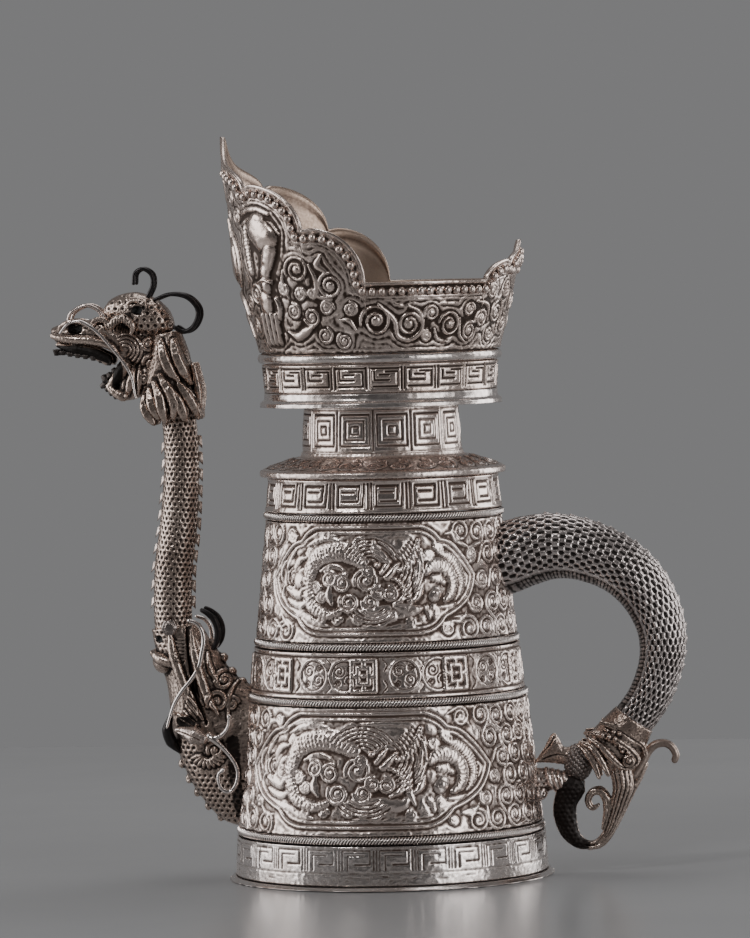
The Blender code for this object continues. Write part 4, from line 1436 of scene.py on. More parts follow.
@dataclass
class Crown:
    """The flared mouth with its stepped, lobed rim."""

    low_rim: float = 256.0
    foot: float = FLARE[0][0]
    unroll: float = 58.0
    wall: float = 1.4
    rows: int = 150
    inner_rows: int = 40
    bead_pitch: float = 4.1
    sink: float = 0.8

    @staticmethod
    def radius(z: np.ndarray) -> np.ndarray:
        """The wall's outer radius at a height."""
        return np.interp(z, *np.array(FLARE).T)

    def rim(self, s: float) -> float:
        """The rim's height; s is the way round from the front, out to a quarter turn each way.

        Args:
            s: the way round from the front.

        Returns:
            The height in millimetres.
        """
        bearing = math.degrees(s / self.unroll)

        def quarter(share: float) -> float:
            """Rises steeply at 0 and is level at 1."""
            return math.sqrt(1 - (1 - min(max(share, 0.0), 1.0)) ** 2)

        def lobe(start: float, end: float, low: float, top: float, valley: float) -> float:
            """A quarter round up from low to top, then a dip to the valley."""
            share = (bearing - start) / (end - start)
            return low + (top - low) * quarter(share / 0.85) - (top - valley) * max(share - 0.85, 0.0) / 0.15

        def ogee(cusp: float, middle: float, valley: float, tip: float) -> float:
            """One flank of a pointed arch."""
            share = (bearing - cusp) / (middle - cusp)
            return valley + (tip - valley) * (0.35 * quarter(share / 0.5) + 0.65 * share ** 3)

        if bearing < -56.7:
            return ogee(-56.7, -90.0, 297.0, 320.0)
        if bearing < -25.9:
            return lobe(-25.9, -56.7, 278.8, 298.6, 297.0)
        if bearing < 0.0:
            return lobe(0.0, -25.9, self.low_rim, 279.5, 278.8)
        if bearing < 56.0:
            return self.low_rim
        if bearing < 75.0:
            return lobe(56.0, 75.0, self.low_rim, 264.5, 263.3)
        return ogee(75.0, 90.0, 263.3, 272.9)

    def rim_path(self, down: float) -> np.ndarray:
        """Points at even steps along the rim from the front peak to the back, set in by a distance.

        Args:
            down: how far below the rim it runs.

        Returns:
            The points, one a row.
        """
        s = np.linspace(-91.1, 91.1, 6000)
        path = np.stack([s, [self.rim(v) for v in s]], 1)
        along = np.concatenate([[0], np.cumsum(np.hypot(*np.diff(path, axis=0).T))])
        even = np.arange(0, along[-1], 0.3)
        path = np.stack([np.interp(even, along, path[:, k]) for k in (0, 1)], 1)
        way = np.gradient(path, axis=0)
        smooth = np.stack([np.convolve(np.pad(way[:, k], 7, "edge"), np.ones(15) / 15, "valid") for k in (0, 1)], 1)
        smooth /= np.linalg.norm(smooth, axis=1, keepdims=True)
        return path + down * np.stack([smooth[:, 1], -smooth[:, 0]], 1)

    def relief(self) -> Relief:
        """Draw the crown's chased side and mirror it.

        Returns:
            The drawn height field.
        """
        relief = Relief(2 * math.pi * self.unroll, self.foot, 321.0, 0.45)
        relief.ridge(self.rim_path(0.7), 0.9, 0.75)
        relief.groove(self.rim_path(2.1), 0.7, 0.3)
        for down, lift in ((6.2, 0.55), (7.6, 0.5)):
            path = self.rim_path(down)
            relief.ridge(path[(path[:, 1] < 296)], 0.5, lift)
        for mark in CROWN_STROKES + FRONT_JEWEL:
            relief.stroke(mark.points, mark.widths, mark.height)
        for mark in CROWN_CURLS:
            relief.volute(mark.s, mark.z, mark.radius, mark.start, mark.hand, mark.height, 0.72, 1.9)
        rng = np.random.default_rng(SEED)
        for s, z in rng.uniform((-70, 228), (88, 262), (260, 2)):
            if z < self.rim(s) - 8 and relief.height[round((z - self.foot) / relief.cell_z),
                    round(s / relief.cell_s)] < 0.15:
                way = rng.uniform(0, math.pi)
                tip = (s + 2.2 * math.cos(way), z + 2.2 * math.sin(way))
                relief.ridge(spline(((s, z), tip), 0.3), 0.5, 0.4)
        self.arm(relief)
        rings(relief, (self.foot + 1.0,), 0.9, 0.5)
        relief.echoed(0.32, 1.9, 0.16)
        relief.matted(0.04, SEED + 7)
        count = relief.columns
        column = np.arange(count)
        beyond = np.cos(around(count)) < 0
        relief.height[:, beyond] = relief.height[:, (count // 2 - column[beyond]) % count]
        return relief

    def arm(self, relief: Relief) -> None:
        """The bent arm and open hand beside the front, with a pleated sleeve.

        Args:
            relief: the height field that is drawn on.
        """
        ground = Stroke(((-48, 282), (-47, 268), (-49, 252), (-51, 232)), (8, 9, 8, 7))
        relief.height *= 1 - relief.mask(spline(ground.points, 0.3), 8.0) ** 0.4
        relief.ridge(spline(((-49, 279.5), (-45, 275.5)), 0.3), 7.2, 3.4)
        for mark in ARM_STROKES:
            relief.stroke(mark.points, mark.widths, mark.height)
        for k in range(13):
            relief.groove(spline(((-62, 261 + 1.6 * k), (-56.5, 261.6 + 1.6 * k)), 0.3), 0.35, 0.45)
        for s, z, radius in ((-57, 252, 4.0), (-57, 252, 1.6)):
            turn = np.linspace(0, 2 * math.pi, 60)
            relief.ridge(np.stack([s + radius * np.cos(turn), z + radius * np.sin(turn)], 1), 0.8, 1.3)

    def build(self) -> None:
        """Raise the wall in two halves, line it and set the beads."""
        relief = self.relief()
        columns = relief.columns
        s = np.arange(columns) * relief.cell_s
        fold = np.arcsin(np.clip(np.sin(s / self.unroll), -1, 1)) * self.unroll
        rim = np.array([self.rim(v) for v in fold])
        share = np.linspace(0, 1, self.rows)[:, None]
        z = self.foot + (rim - self.foot)[None, :] * share
        row = (z - self.foot) / relief.cell_z
        low = np.clip(row.astype(int), 0, relief.rows - 2)
        part = row - low
        index = np.arange(columns)[None, :]
        dark_map = relief.tarnish(0.3, 1.25, 2.2)
        height, dark = (m[low, index] * (1 - part) + m[low + 1, index] * part for m in (relief.height, dark_map))
        radius = self.radius(z) + height - self.sink
        down = np.linspace(1, 0, self.inner_rows)[:, None]
        inner_z = self.foot + (rim - 0.3 - self.foot)[None, :] * down
        gap = (rim[None, :] - inner_z) / 1.3
        rib = 0.5 * np.exp(-(gap - 2.0) ** 2) - 0.25 * np.exp(-(gap - 4.0) ** 2)
        inner_r = self.radius(inner_z) - self.wall - rib - self.sink
        grid = turned_points(np.vstack([radius, inner_r]), np.vstack([z, inner_z]), s[None, :] / self.unroll)
        dark = np.vstack([dark, 0.25 + 0.5 * np.exp(-(gap - 3.6) ** 2)])
        half = columns // 2
        for side, start in (("right", -(half // 2)), ("left", half - half // 2)):
            picked = np.arange(start, start + half + 1) % columns
            piece = slice_of(grid, dark, "crown_wall_" + side, Finish.CROWN, picked, self.inner_rows, Finish.GILT)
            add_piece(piece, Finish.CROWN, "crown_wall")
        self.beads()

    def beads(self) -> None:
        """Set the row of beads that follows the rim."""
        path = self.rim_path(4.0)
        path = path[(path[:, 1] < 304) | (path[:, 0] > 0)]
        along = np.concatenate([[0], np.cumsum(np.hypot(*np.diff(path, axis=0).T))])
        even = np.arange(1.0, along[-1] - 1, self.bead_pitch)
        s, z = (np.interp(even, along, path[:, k]) for k in (0, 1))
        turn = np.concatenate([s, 2 * math.pi * self.unroll / 2 - s]) / self.unroll
        z = np.tile(z, 2)
        radius = self.radius(z) + 1.0 - self.sink
        zero = np.zeros(len(z))
        out = np.stack([np.sin(turn), -np.cos(turn), zero], 1)
        places = out * radius[:, None]
        places[:, 2] = z
        frames = axes_from(np.stack([np.cos(turn), np.sin(turn), zero], 1), out)
        shape = Repeats("rim_beads", "GeometryNodeMeshUVSphere", {"Segments": 10, "Rings": 6, "Radius": 1.0})
        piece = shape.spread("crown_rim_beads", places, frames, np.tile((1.75, 2.0, 1.6), (len(z), 1)),
                             Finish.CROWN, 0.2)
        add_piece(piece, Finish.CROWN)


# ------------------------------------------------------------------------------ modelled pieces

class Sculpture:
    """Solid forms fused into one skin, then chased in side view on both sides alike."""

    def __init__(self, name: str, voxel: float = 0.5) -> None:
        """Start an empty model.

        Args:
            name: the finished piece's name.
            voxel: the size of the fused skin's cells in millimetres.
        """
        self.name, self.voxel = name, voxel
        self.points: list[np.ndarray] = []
        self.faces: list[list[int]] = []
        self.count = 0

    def add(self, points: np.ndarray, faces: Sequence[np.ndarray], mirrored: bool = False) -> None:
        """Add a closed form, and its mirror image on the other side if wanted.

        Args:
            points: points in millimetres, one a row.
            faces: arrays of faces, as rows of point numbers.
            mirrored: whether the other side gets it too.
        """
        points = points.reshape(-1, 3)
        copies = [points, points * (1, -1, 1)] if mirrored else [points]
        for copy in copies:
            inward = signed_volume(copy, faces) < 0
            for array in faces:
                turned = array[:, ::-1] if inward else array
                self.faces += (turned + self.count).tolist()
            self.points.append(copy)
            self.count += len(copy)

    def loft(self, sections: Sequence[tuple[tuple[float, float], tuple[float, float], float]], sides: int = 28) -> None:
        """Add a body through sections: each has a low point, a high point and a half width.

        Args:
            sections: the sections, from one end to the other.
            sides: the number of sides.
        """
        rows = np.array([(*low, *high, half) for low, high, half in sections], float)
        fine = spline(rows, 1.2)
        turn = around(sides)[None, :]
        centre, reach = (fine[:, 0:2] + fine[:, 2:4]) / 2, (fine[:, 2:4] - fine[:, 0:2]) / 2
        x = centre[:, :1] + reach[:, :1] * np.cos(turn)
        z = centre[:, 1:] + reach[:, 1:] * np.cos(turn)
        y = fine[:, 4:] * np.sin(turn)
        grid = np.stack([x, y, z], -1)
        ends = [np.broadcast_to(grid[k].mean(0), grid[0].shape)[None] for k in (0, -1)]
        self.add(np.vstack([ends[0], grid, ends[1]]), [grid_faces(len(grid) + 2, sides, False, True)])

    def limb(self, points: Sequence[Sequence[float]], radii: Sequence[float], mirrored: bool = True) -> None:
        """Add a tapered round form through points in space."""
        self.add(*tube(points, radii, 10, 0.8), mirrored)

    def ball(self, centre: Sequence[float], reach: Sequence[float], mirrored: bool = True) -> None:
        """Add an ellipsoid.

        Args:
            centre: the middle in millimetres.
            reach: the half lengths in x, y and z.
            mirrored: whether the other side gets it too.
        """
        turn, rise = around(16)[None, :], np.linspace(-math.pi / 2, math.pi / 2, 11)[:, None]
        grid = np.stack(np.broadcast_arrays(reach[0] * np.cos(rise) * np.cos(turn),
            reach[1] * np.cos(rise) * np.sin(turn), reach[2] * np.sin(rise)), -1)
        self.add(grid + np.array(centre), [grid_faces(11, 16, False, True)], mirrored)

    def build(self, finish: Finish, chasing: "SideChasing", rest: float = 0.3, strength: float = 1.0,
              grain: float = 0.05) -> bpy.types.Object:
        """Fuse the forms and chase the skin.

        Args:
            finish: the piece's finish.
            chasing: what is chased into its sides, and the shade painted on them.
            rest: how dark a flat place is.
            strength: how much darker hollows are.
            grain: how uneven the skin is, in millimetres.

        Returns:
            The piece.
        """
        mesh = bpy.data.meshes.new(self.name)
        mesh.from_pydata((np.vstack(self.points) * MM).tolist(), [], self.faces)
        source = bpy.data.objects.new(self.name, mesh)
        bpy.context.scene.collection.objects.link(source)
        fuse = source.modifiers.new("fuse", "REMESH")
        fuse.mode, fuse.voxel_size = "VOXEL", self.voxel * MM
        piece = plain_copy(source, self.name)
        points, normals, edges = read_mesh(piece.data)
        points = relaxed(points, edges, 2)
        side = np.clip(np.abs(normals[:, 1:2]) * 1.6 - 0.25, 0, 1)
        lift, dark = chasing.sample(points)
        rng = np.random.default_rng(SEED)
        noise = relaxed(rng.standard_normal((len(points), 1)), edges, 2)
        points = points + normals * (lift[:, None] * side + grain * noise / noise.std())
        smooth = relaxed(points, edges, 6)
        broad = relaxed(smooth, edges, 16)
        hollow = np.einsum("ij,ij->i", smooth - points, normals) * 3.2 + np.einsum("ij,ij->i", broad - points,
            normals) * 1.3
        # Painted shade lies only on the sides; where it reaches 1 it replaces the tarnish.
        dark = np.where(side[:, 0] > 0.3, dark, 0.0)
        tarnish = np.clip(rest + strength * hollow, 0, 1) * (dark < 1) + dark
        piece.data.vertices.foreach_set("co", (points * MM).astype(np.float32).ravel())
        piece.data.update()
        darken(piece.data, np.clip(tarnish, 0, 2))
        piece.data.polygons.foreach_set("use_smooth", np.ones(len(piece.data.polygons), dtype=bool))
        piece.data.materials.clear()
        piece.data.materials.append(finish_material(finish))
        return piece


class SideChasing:
    """Chased work drawn in side view, over x from one end to the other, with painted shade."""

    def __init__(self, x0: float, x1: float, low: float, high: float) -> None:
        """Start a plain side between two x and two z values.

        Args:
            x0: the lower end in x.
            x1: the upper end in x.
            low: the lower end in z.
            high: the upper end in z.
        """
        self.x0 = x0
        self.relief = Relief(x1 - x0, low, high, 0.3)
        # Painted shade for holes, mouths and gaps; above 1 the finish turns near-black.
        self.dark = np.zeros_like(self.relief.height)

    def shifted(self, points: Points) -> list[tuple[float, float]]:
        """Points measured from the side's left edge."""
        return [(x - self.x0, z) for x, z in points]

    def stroke(self, points: Points, widths: Sequence[float], height: float = 0.8) -> None:
        """Raise a stroke."""
        self.relief.stroke(self.shifted(points), widths, height)

    def groove(self, points: Points, radius: float, depth: float) -> None:
        """Cut a groove."""
        self.relief.groove(spline(self.shifted(points), 0.2), radius, depth)

    def curl(self, x: float, z: float, radius: float, start: float = 0, hand: int = 1, height: float = 0.8) -> None:
        """Raise a spiral."""
        self.relief.volute(x - self.x0, z, radius, start, hand, height, 0.24 * radius + 0.15, 1.5)

    def arcs(self, x: float, z: float, radii: Iterable[float], first: float, last: float, lift: float = 0.5,
             stretch: float = 1.0) -> None:
        """Raise concentric arcs about a middle, between two angles in degrees.

        Args:
            x: the middle in x.
            z: the height of the place.
            radii: the radius of each one.
            first: the angle that the arcs begin at.
            last: the angle that the arcs end at.
            lift: how high they are raised.
            stretch: how much it is stretched.
        """
        turn = np.radians(np.linspace(first, last, 60))
        for radius in radii:
            path = np.stack([x - self.x0 + radius * np.cos(turn), z + stretch * radius * np.sin(turn)], 1)
            self.relief.ridge(path, 0.55, lift)

    def pits(self, box: tuple[float, float, float, float], pitch: float, radius: float, depth: float,
             lip: float = 0.0) -> None:
        """Punch staggered dents into a box of x0, z0, x1, z1; a lip makes them rings.

        Args:
            box: the box that is filled.
            pitch: the way from dent to dent.
            radius: the radius in millimetres.
            depth: how deep it goes.
            lip: the height of each dent's lip.
        """
        x0, z0, x1, z1 = box
        for row in range(int((z1 - z0) / (0.86 * pitch)) + 1):
            for column in range(int((x1 - x0) / pitch) + 1):
                x = x0 + (column + 0.5 * (row % 2)) * pitch - self.x0
                spot = np.array([(x, z0 + row * 0.86 * pitch)])
                if lip:
                    self.relief.ridge(spot, radius + 0.75, lip, 0.3)
                self.relief.groove(spot, radius, depth)

    def hole(self, x: float, z: float, reach_x: float, reach_z: float, depth: float = 1.6, dark: float = 2.0) -> None:
        """Sink an oval hole and paint shade inside it.

        Args:
            x: the middle in x.
            z: the height of the place.
            reach_x: half the hole's length in x.
            reach_z: half the hole's length in z.
            depth: how deep it goes.
            dark: how dark the painted shade inside is; above 1 it is black.
        """
        turn = np.linspace(0, 2 * math.pi, 40)
        for share in (0.75, 0.4, 0.0):
            path = np.stack([x - self.x0 + share * reach_x * np.cos(turn), z + share * reach_z * np.sin(turn)], 1)
            inside = self.relief.mask(path, 0.3 * (reach_x + reach_z))
            self.relief.height -= depth / 3 * inside ** 0.6
            self.dark = np.maximum(self.dark, dark * np.clip(inside * 2.5, 0, 1))

    def shade(self, points: Points, radius: float, dark: float) -> None:
        """Paint shade along a path."""
        inside = self.relief.mask(spline(self.shifted(points), 0.3), radius)
        self.dark = np.maximum(self.dark, dark * np.clip(inside * 2.5, 0, 1))

    def sample(self, points: np.ndarray) -> tuple[np.ndarray, np.ndarray]:
        """Height and painted shade at points in space, from their x and z.

        Args:
            points: points in space, one a row.

        Returns:
            The height and the painted shade of each point.
        """
        relief = self.relief
        column = np.clip(((points[:, 0] - self.x0) / relief.cell_s), 0, relief.columns - 2)
        row = np.clip(((points[:, 2] - relief.low) / relief.cell_z), 0, relief.rows - 2)
        c, r = column.astype(int), row.astype(int)
        fc, fr = column - c, row - r
        found = []
        for grid in (relief.height, self.dark):
            found.append(grid[r, c] * (1 - fc) * (1 - fr) + grid[r, c + 1] * fc * (1 - fr)
                         + grid[r + 1, c] * (1 - fc) * fr + grid[r + 1, c + 1] * fc * fr)
        return found[0], found[1]


def saw_teeth(name: str, path: Sequence[tuple[float, float, float]], side: int, pitch: float, height: float,
              finish: Finish, node: str, lean: float = 0.5) -> None:
    """Set a row of teeth along one side of a tube, as one piece.

    Args:
        name: the piece's name.
        path: the tube's x, z and radius.
        side: 1 for its left side going along the path, -1 for its right.
        pitch: the way from tooth to tooth.
        height: how far a tooth stands out.
        finish: the piece's finish.
        node: the solid that it stands for.
        lean: how far a tooth leans along the path.
    """
    line = spline(path, 0.4)
    along = np.concatenate([[0], np.cumsum(np.hypot(*np.diff(line[:, :2], axis=0).T))])
    even = np.arange(0, along[-1], pitch)
    x, z, radius = (np.interp(even, along, line[:, k]) for k in range(3))
    tangent = np.gradient(np.stack([x, z], 1), axis=0)
    tangent /= np.linalg.norm(tangent, axis=1, keepdims=True)
    out = side * np.stack([-tangent[:, 1], tangent[:, 0]], 1)
    places = np.stack([x + out[:, 0] * (radius - 0.9), 0 * x, z + out[:, 1] * (radius - 0.9)], 1)
    tip = out + lean * tangent
    z_axis = np.stack([tip[:, 0], 0 * x, tip[:, 1]], 1)
    z_axis /= np.linalg.norm(z_axis, axis=1, keepdims=True)
    y_axis = np.tile((0.0, 1.0, 0.0), (len(x), 1))
    frames = np.stack([np.cross(y_axis, z_axis), y_axis, z_axis], -1)
    cone = Repeats(name + "_tooth", "GeometryNodeMeshCone", {"Vertices": 8, "Side Segments": 3, "Radius Top": 0.06,
                                                             "Radius Bottom": 1.0, "Depth": 1.0})
    sizes = np.tile((0.62 * pitch, 1.1, height + 0.9), (len(x), 1))
    add_piece(cone.spread(name, places, frames, sizes, finish, 0.3), finish, node)


def both(points: Points, y0: float, y1: float, side: int) -> list[tuple[float, float, float]]:
    """Points in space from a side view; y goes from y0 at the first point to y1 at the last."""
    share = np.linspace(0, 1, len(points))
    return [(x, side * (y0 + (y1 - y0) * t), z) for (x, z), t in zip(points, share)]


@dataclass
class Spout:
    """The spout: makara, scaled neck and dragon's head."""

    neck: tuple[tuple[float, float, float], ...] = (
        (-90.6, 99.0, 7.9), (-92.2, 108.0, 8.0), (-92.4, 120.0, 8.0), (-91.6, 135.0, 8.0), (-89.4, 150.0, 7.9),
        (-87.9, 165.0, 7.6), (-87.0, 180.0, 7.3), (-87.2, 192.0, 7.2), (-88.4, 203.0, 7.2), (-90.4, 214.0, 7.2))

    def tube(self) -> None:
        """The neck's scaled tube and its two saw-toothed edges."""
        path = spline(self.neck, 0.5)
        length = np.hypot(*np.diff(path[:, :2], axis=0).T).sum()
        relief = Relief(2 * math.pi * 7.7, 0, length, 0.4)
        step = 2.15
        rows, columns = int(length / step), 20
        pitch = relief.length / columns
        for row in range(rows):
            for column in range(columns):
                s = (column + 0.5 * (row % 2)) * pitch
                relief.ridge(np.array([(s, (row + 0.5) * step + 0.35)]), 1.35, 0.3, 0.4)
        for row in range(rows):
            for column in range(columns):
                s = (column + 0.5 * (row % 2)) * pitch
                relief.groove(np.array([(s, (row + 0.5) * step)]), 0.85, 0.6)
        relief.matted(0.04, SEED)
        turn = np.degrees(around(relief.columns))[None, :]
        shadow = 0.25 * np.exp(-((turn - 315) / 40) ** 2)
        dark = np.clip(relief.tarnish(0.36, 1.1) + shadow, 0, 1)
        piece = swept("spout_neck_scaled", path, relief, Finish.BROWN, dark)
        add_piece(piece, Finish.BROWN, "spout_neck")
        saw_teeth("neck_back_teeth", self.neck[2:8], -1, 6.9, 2.6, Finish.BROWN, "neck_back_fin", 0.9)
        saw_teeth("neck_front_teeth", self.neck[2:8], 1, 7.5, 1.3, Finish.CHASED, "neck_front_fin", 0.7)

    def mane(self) -> None:
        """The sleeve of locks under the head."""
        model = Sculpture("dragon_mane_locks", 0.42)
        model.loft((((-96.5, 199.4), (-79.3, 199.8), 9.0), ((-100.3, 202.0), (-77.4, 202.0), 11.2),
                    ((-102.6, 207.0), (-77.2, 206.0), 12.2), ((-102.9, 214.0), (-79.0, 213.0), 12.2),
                    ((-102.0, 222.0), (-81.4, 222.0), 11.8), ((-101.0, 228.0), (-83.0, 229.0), 10.3),
                    ((-99.0, 235.0), (-86.0, 237.0), 7.6)))
        locks = (((-93.5, 233), (-92, 226), (-89.5, 220), (-86, 215)),
            ((-88, 233), (-86.5, 226), (-84, 220), (-81, 214)), ((-94, 218), (-90, 211), (-88, 205), (-89, 199)),
            ((-99, 212), (-98, 205), (-95, 199)), ((-101.5, 209), (-101, 203), (-97.5, 197)),
            ((-90, 212), (-86, 206), (-84, 200), (-83, 197.5)), ((-86, 214), (-82, 208), (-79.5, 203), (-78.5, 199)),
            ((-96.5, 215), (-94.5, 209), (-93.5, 203), (-92, 197)))
        chase = SideChasing(-108, -70, 190, 240)
        for lock in locks:
            chase.stroke(lock, (1.0, 2.3, 2.4, 0.7), 1.7)
            chase.groove(lock, 0.45, 0.55)
            last = len(lock) - 1
            flat = [(x, 12.0 - 0.035 * (x + 90) ** 2, z) for x, z in lock]
            model.limb([(x, y - (0.5 if k < last else 1.6), z) for k, (x, y, z) in enumerate(flat)],
                (0.6, 1.9, 1.9, 0.5))
        for y in (-7, -3.5, 0, 3.5, 7):
            model.limb(((-100.5, y, 210), (-101.2, y, 203), (-97.5, y * 0.9, 197)), (1.4, 1.8, 0.5), False)
            model.limb(((-80, y, 222), (-77.8, y, 209), (-78.3, y * 0.9, 199.5)), (1.2, 1.8, 0.5), False)
        piece = model.build(Finish.BROWN, chase, 0.42, 1.3)
        add_piece(piece, Finish.BROWN, "dragon_mane")

    def head(self) -> None:
        """Skull, jaws, brows, teeth and all that is chased on the cheeks."""
        model = Sculpture("dragon_head_modelled", 0.42)
        model.loft((((-118.6, 243.6), (-119.0, 247.4), 2.4), ((-115.2, 241.4), (-115.8, 251.0), 6.0),
                    ((-109.4, 238.4), (-109.8, 253.4), 8.8), ((-103.0, 234.4), (-103.2, 253.6), 10.4),
                    ((-96.0, 233.9), (-95.6, 250.4), 9.9), ((-91.4, 235.2), (-90.8, 245.8), 7.4),
                    ((-88.9, 237.6), (-88.7, 240.8), 3.0)))
        model.loft((((-142.0, 236.2), (-142.2, 239.0), 2.6), ((-139.6, 232.6), (-139.0, 240.2), 6.0),
                    ((-132.0, 232.0), (-131.6, 241.4), 8.2), ((-124.0, 231.4), (-123.6, 242.6), 8.8),
                    ((-117.6, 229.8), (-117.0, 243.0), 9.2), ((-110.6, 224.0), (-109.6, 239.8), 9.8),
                    ((-104.0, 220.4), (-103.0, 237.6), 9.4), ((-98.6, 218.4), (-97.6, 236.0), 8.6)))
        model.loft((((-112.4, 208.4), (-113.4, 212.4), 4.2), ((-110.8, 207.2), (-112.0, 219.8), 6.2),
                    ((-107.4, 207.4), (-108.4, 223.0), 7.0), ((-103.0, 208.6), (-103.4, 225.0), 7.4),
                    ((-98.4, 209.0), (-98.0, 226.0), 7.6)))
        model.limb(((-141, 5.6, 235.8), (-134, 8.4, 234.4), (-124, 9.4, 233.6), (-116, 9.8, 231.2), (-112, 9.8, 227.0)),
                   (1.4, 2.0, 2.2, 2.0, 1.2))
        model.limb(((-138, 5.4, 239.5), (-134, 6.8, 241.4), (-129, 7.2, 241.6), (-125, 7.6, 239.4)),
            (0.8, 1.3, 1.3, 0.9))
        model.limb(((-123.4, 7.4, 239.2), (-121.6, 8.0, 242.2), (-117.6, 8.4, 242.0), (-116.0, 8.8, 238.4)),
                   (1.0, 1.3, 1.3, 1.0))
        model.limb(((-116, 8.6, 237.2), (-113.4, 9.6, 241.4), (-109.4, 10.4, 242.6), (-105.6, 10.8, 239.6),
                    (-106.0, 10.4, 236.4)), (1.0, 1.9, 2.1, 1.9, 1.0))
        model.limb(((-107.6, 9.2, 249.4), (-104, 9.9, 250.4), (-100.2, 10.2, 248.6), (-99.4, 10.2, 245.4)),
                   (0.7, 1.1, 1.1, 0.6))
        model.limb(((-117.4, 3.6, 213.6), (-114.6, 4.4, 211.0), (-111.0, 5.2, 209.0)), (1.6, 2.2, 2.4))
        model.limb(((-139, 3.6, 231.8), (-132, 6.2, 230.0), (-124, 7.0, 228.4), (-117, 7.4, 225.0)),
            (1.2, 2.4, 2.6, 2.6))
        model.limb(((-116, 3.0, 214.6), (-112.6, 5.0, 218.4), (-109.6, 6.0, 222.4)), (2.4, 3.0, 3.0))
        chase = SideChasing(-146, -84, 200, 262)
        chase.pits((-103.5, 236.5, -89.5, 250.0), 3.1, 0.95, 0.8, 0.35)
        chase.pits((-118.0, 244.0, -106.5, 253.5), 3.3, 0.95, 0.7, 0.35)
        for k in range(8):
            chase.groove(((-114.5 + 1.1 * k, 237.0), (-113.6 + 1.1 * k, 243.4)), 0.3, 0.5)
        # Faint painted shade across the cut lines.
        chase.shade(((-113.5, 239.5), (-107, 239.4)), 1.8, 0.2)
        chase.arcs(-109, 229, (2.2, 3.8, 5.4, 7.0), -60, 120, 0.7)
        chase.arcs(-120, 238.6, (1.4, 3.0, 4.4), 0, 180, 0.6)
        chase.curl(-99, 231, 2.9, 90, 1, 1.0)
        chase.curl(-98, 223, 3.7, 180, -1, 1.2)
        chase.curl(-101.5, 216, 2.4, 0, 1, 0.9)
        chase.stroke(((-106, 222), (-107.4, 215), (-109.6, 209)), (0.8, 2.0, 0.8), 1.2)
        chase.stroke(((-103.4, 222), (-103.4, 215), (-104.4, 210)), (0.6, 1.4, 0.6), 1.0)
        chase.groove(((-140, 236.6), (-132, 236.0), (-124, 235.6), (-117, 233.6)), 0.5, 0.6)
        # Painted shade: black in the eye and nostril holes, darker round the eye, black in the open mouth between the
        # jaws.
        chase.hole(-103.5, 246.0, 1.9, 1.4, 1.8)
        chase.hole(-130.8, 238.4, 2.8, 1.3, 2.0)
        chase.shade(((-108, 244), (-104, 247), (-99.5, 246)), 1.2, 0.7)
        chase.shade(((-139, 229.6), (-130, 229.0), (-120, 227.0), (-113, 222.6), (-113.5, 214)), 2.3, 1.7)
        piece = model.build(Finish.BROWN, chase, 0.36, 1.2)
        add_piece(piece, Finish.BROWN, "dragon_skull", "dragon_upper_jaw", "dragon_lower_jaw", "brow_left",
            "brow_right")
        self.teeth()

    def teeth(self) -> None:
        """The teeth of both jaws, set at even steps along each gum."""
        gums = ((((-139.6, 4.0, 229.8), (-132, 6.8, 228.2), (-124, 7.6, 226.8), (-116.5, 8.0, 224.4)),
            (-0.05, 0, -1), 2.6, 8), (((-118.5, 3.0, 215.8), (-115, 5.0, 218.8), (-111.5, 6.0, 221.4)),
            (-0.5, 0, 0.8), 3.0, 4), (((-118.8, 2.6, 214.4), (-116.4, 3.8, 211.6), (-113.6, 4.6, 209.4)),
            (-0.9, 0, -0.5), 2.6, 4))
        places, tips, sizes = [], [], []
        for gum, tip, height, count in gums:
            line = spline(gum, 0.3)
            for k in np.linspace(0, len(line) - 1, count).astype(int):
                for side in (-1, 1):
                    places.append(line[k] * (1, side, 1))
                    tips.append(tip)
                    sizes.append((1.8, 1.7, height * (1.0 if k == 0 else 0.7)))
        out = np.array(tips, float)
        out /= np.linalg.norm(out, axis=1, keepdims=True)
        x_axis = np.cross(np.tile((0.0, 1.0, 0.0), (len(out), 1)), out)
        x_axis /= np.linalg.norm(x_axis, axis=1, keepdims=True)
        frames = np.stack([x_axis, np.cross(out, x_axis), out], -1)
        cone = Repeats("jaw_tooth", "GeometryNodeMeshCone", {"Vertices": 9, "Side Segments": 3, "Radius Top": 0.5,
                                                             "Radius Bottom": 1.0, "Depth": 1.0})
        piece = cone.spread("dragon_teeth", np.array(places), frames, np.array(sizes), Finish.DARK, 0.75)
        add_piece(piece, Finish.DARK)

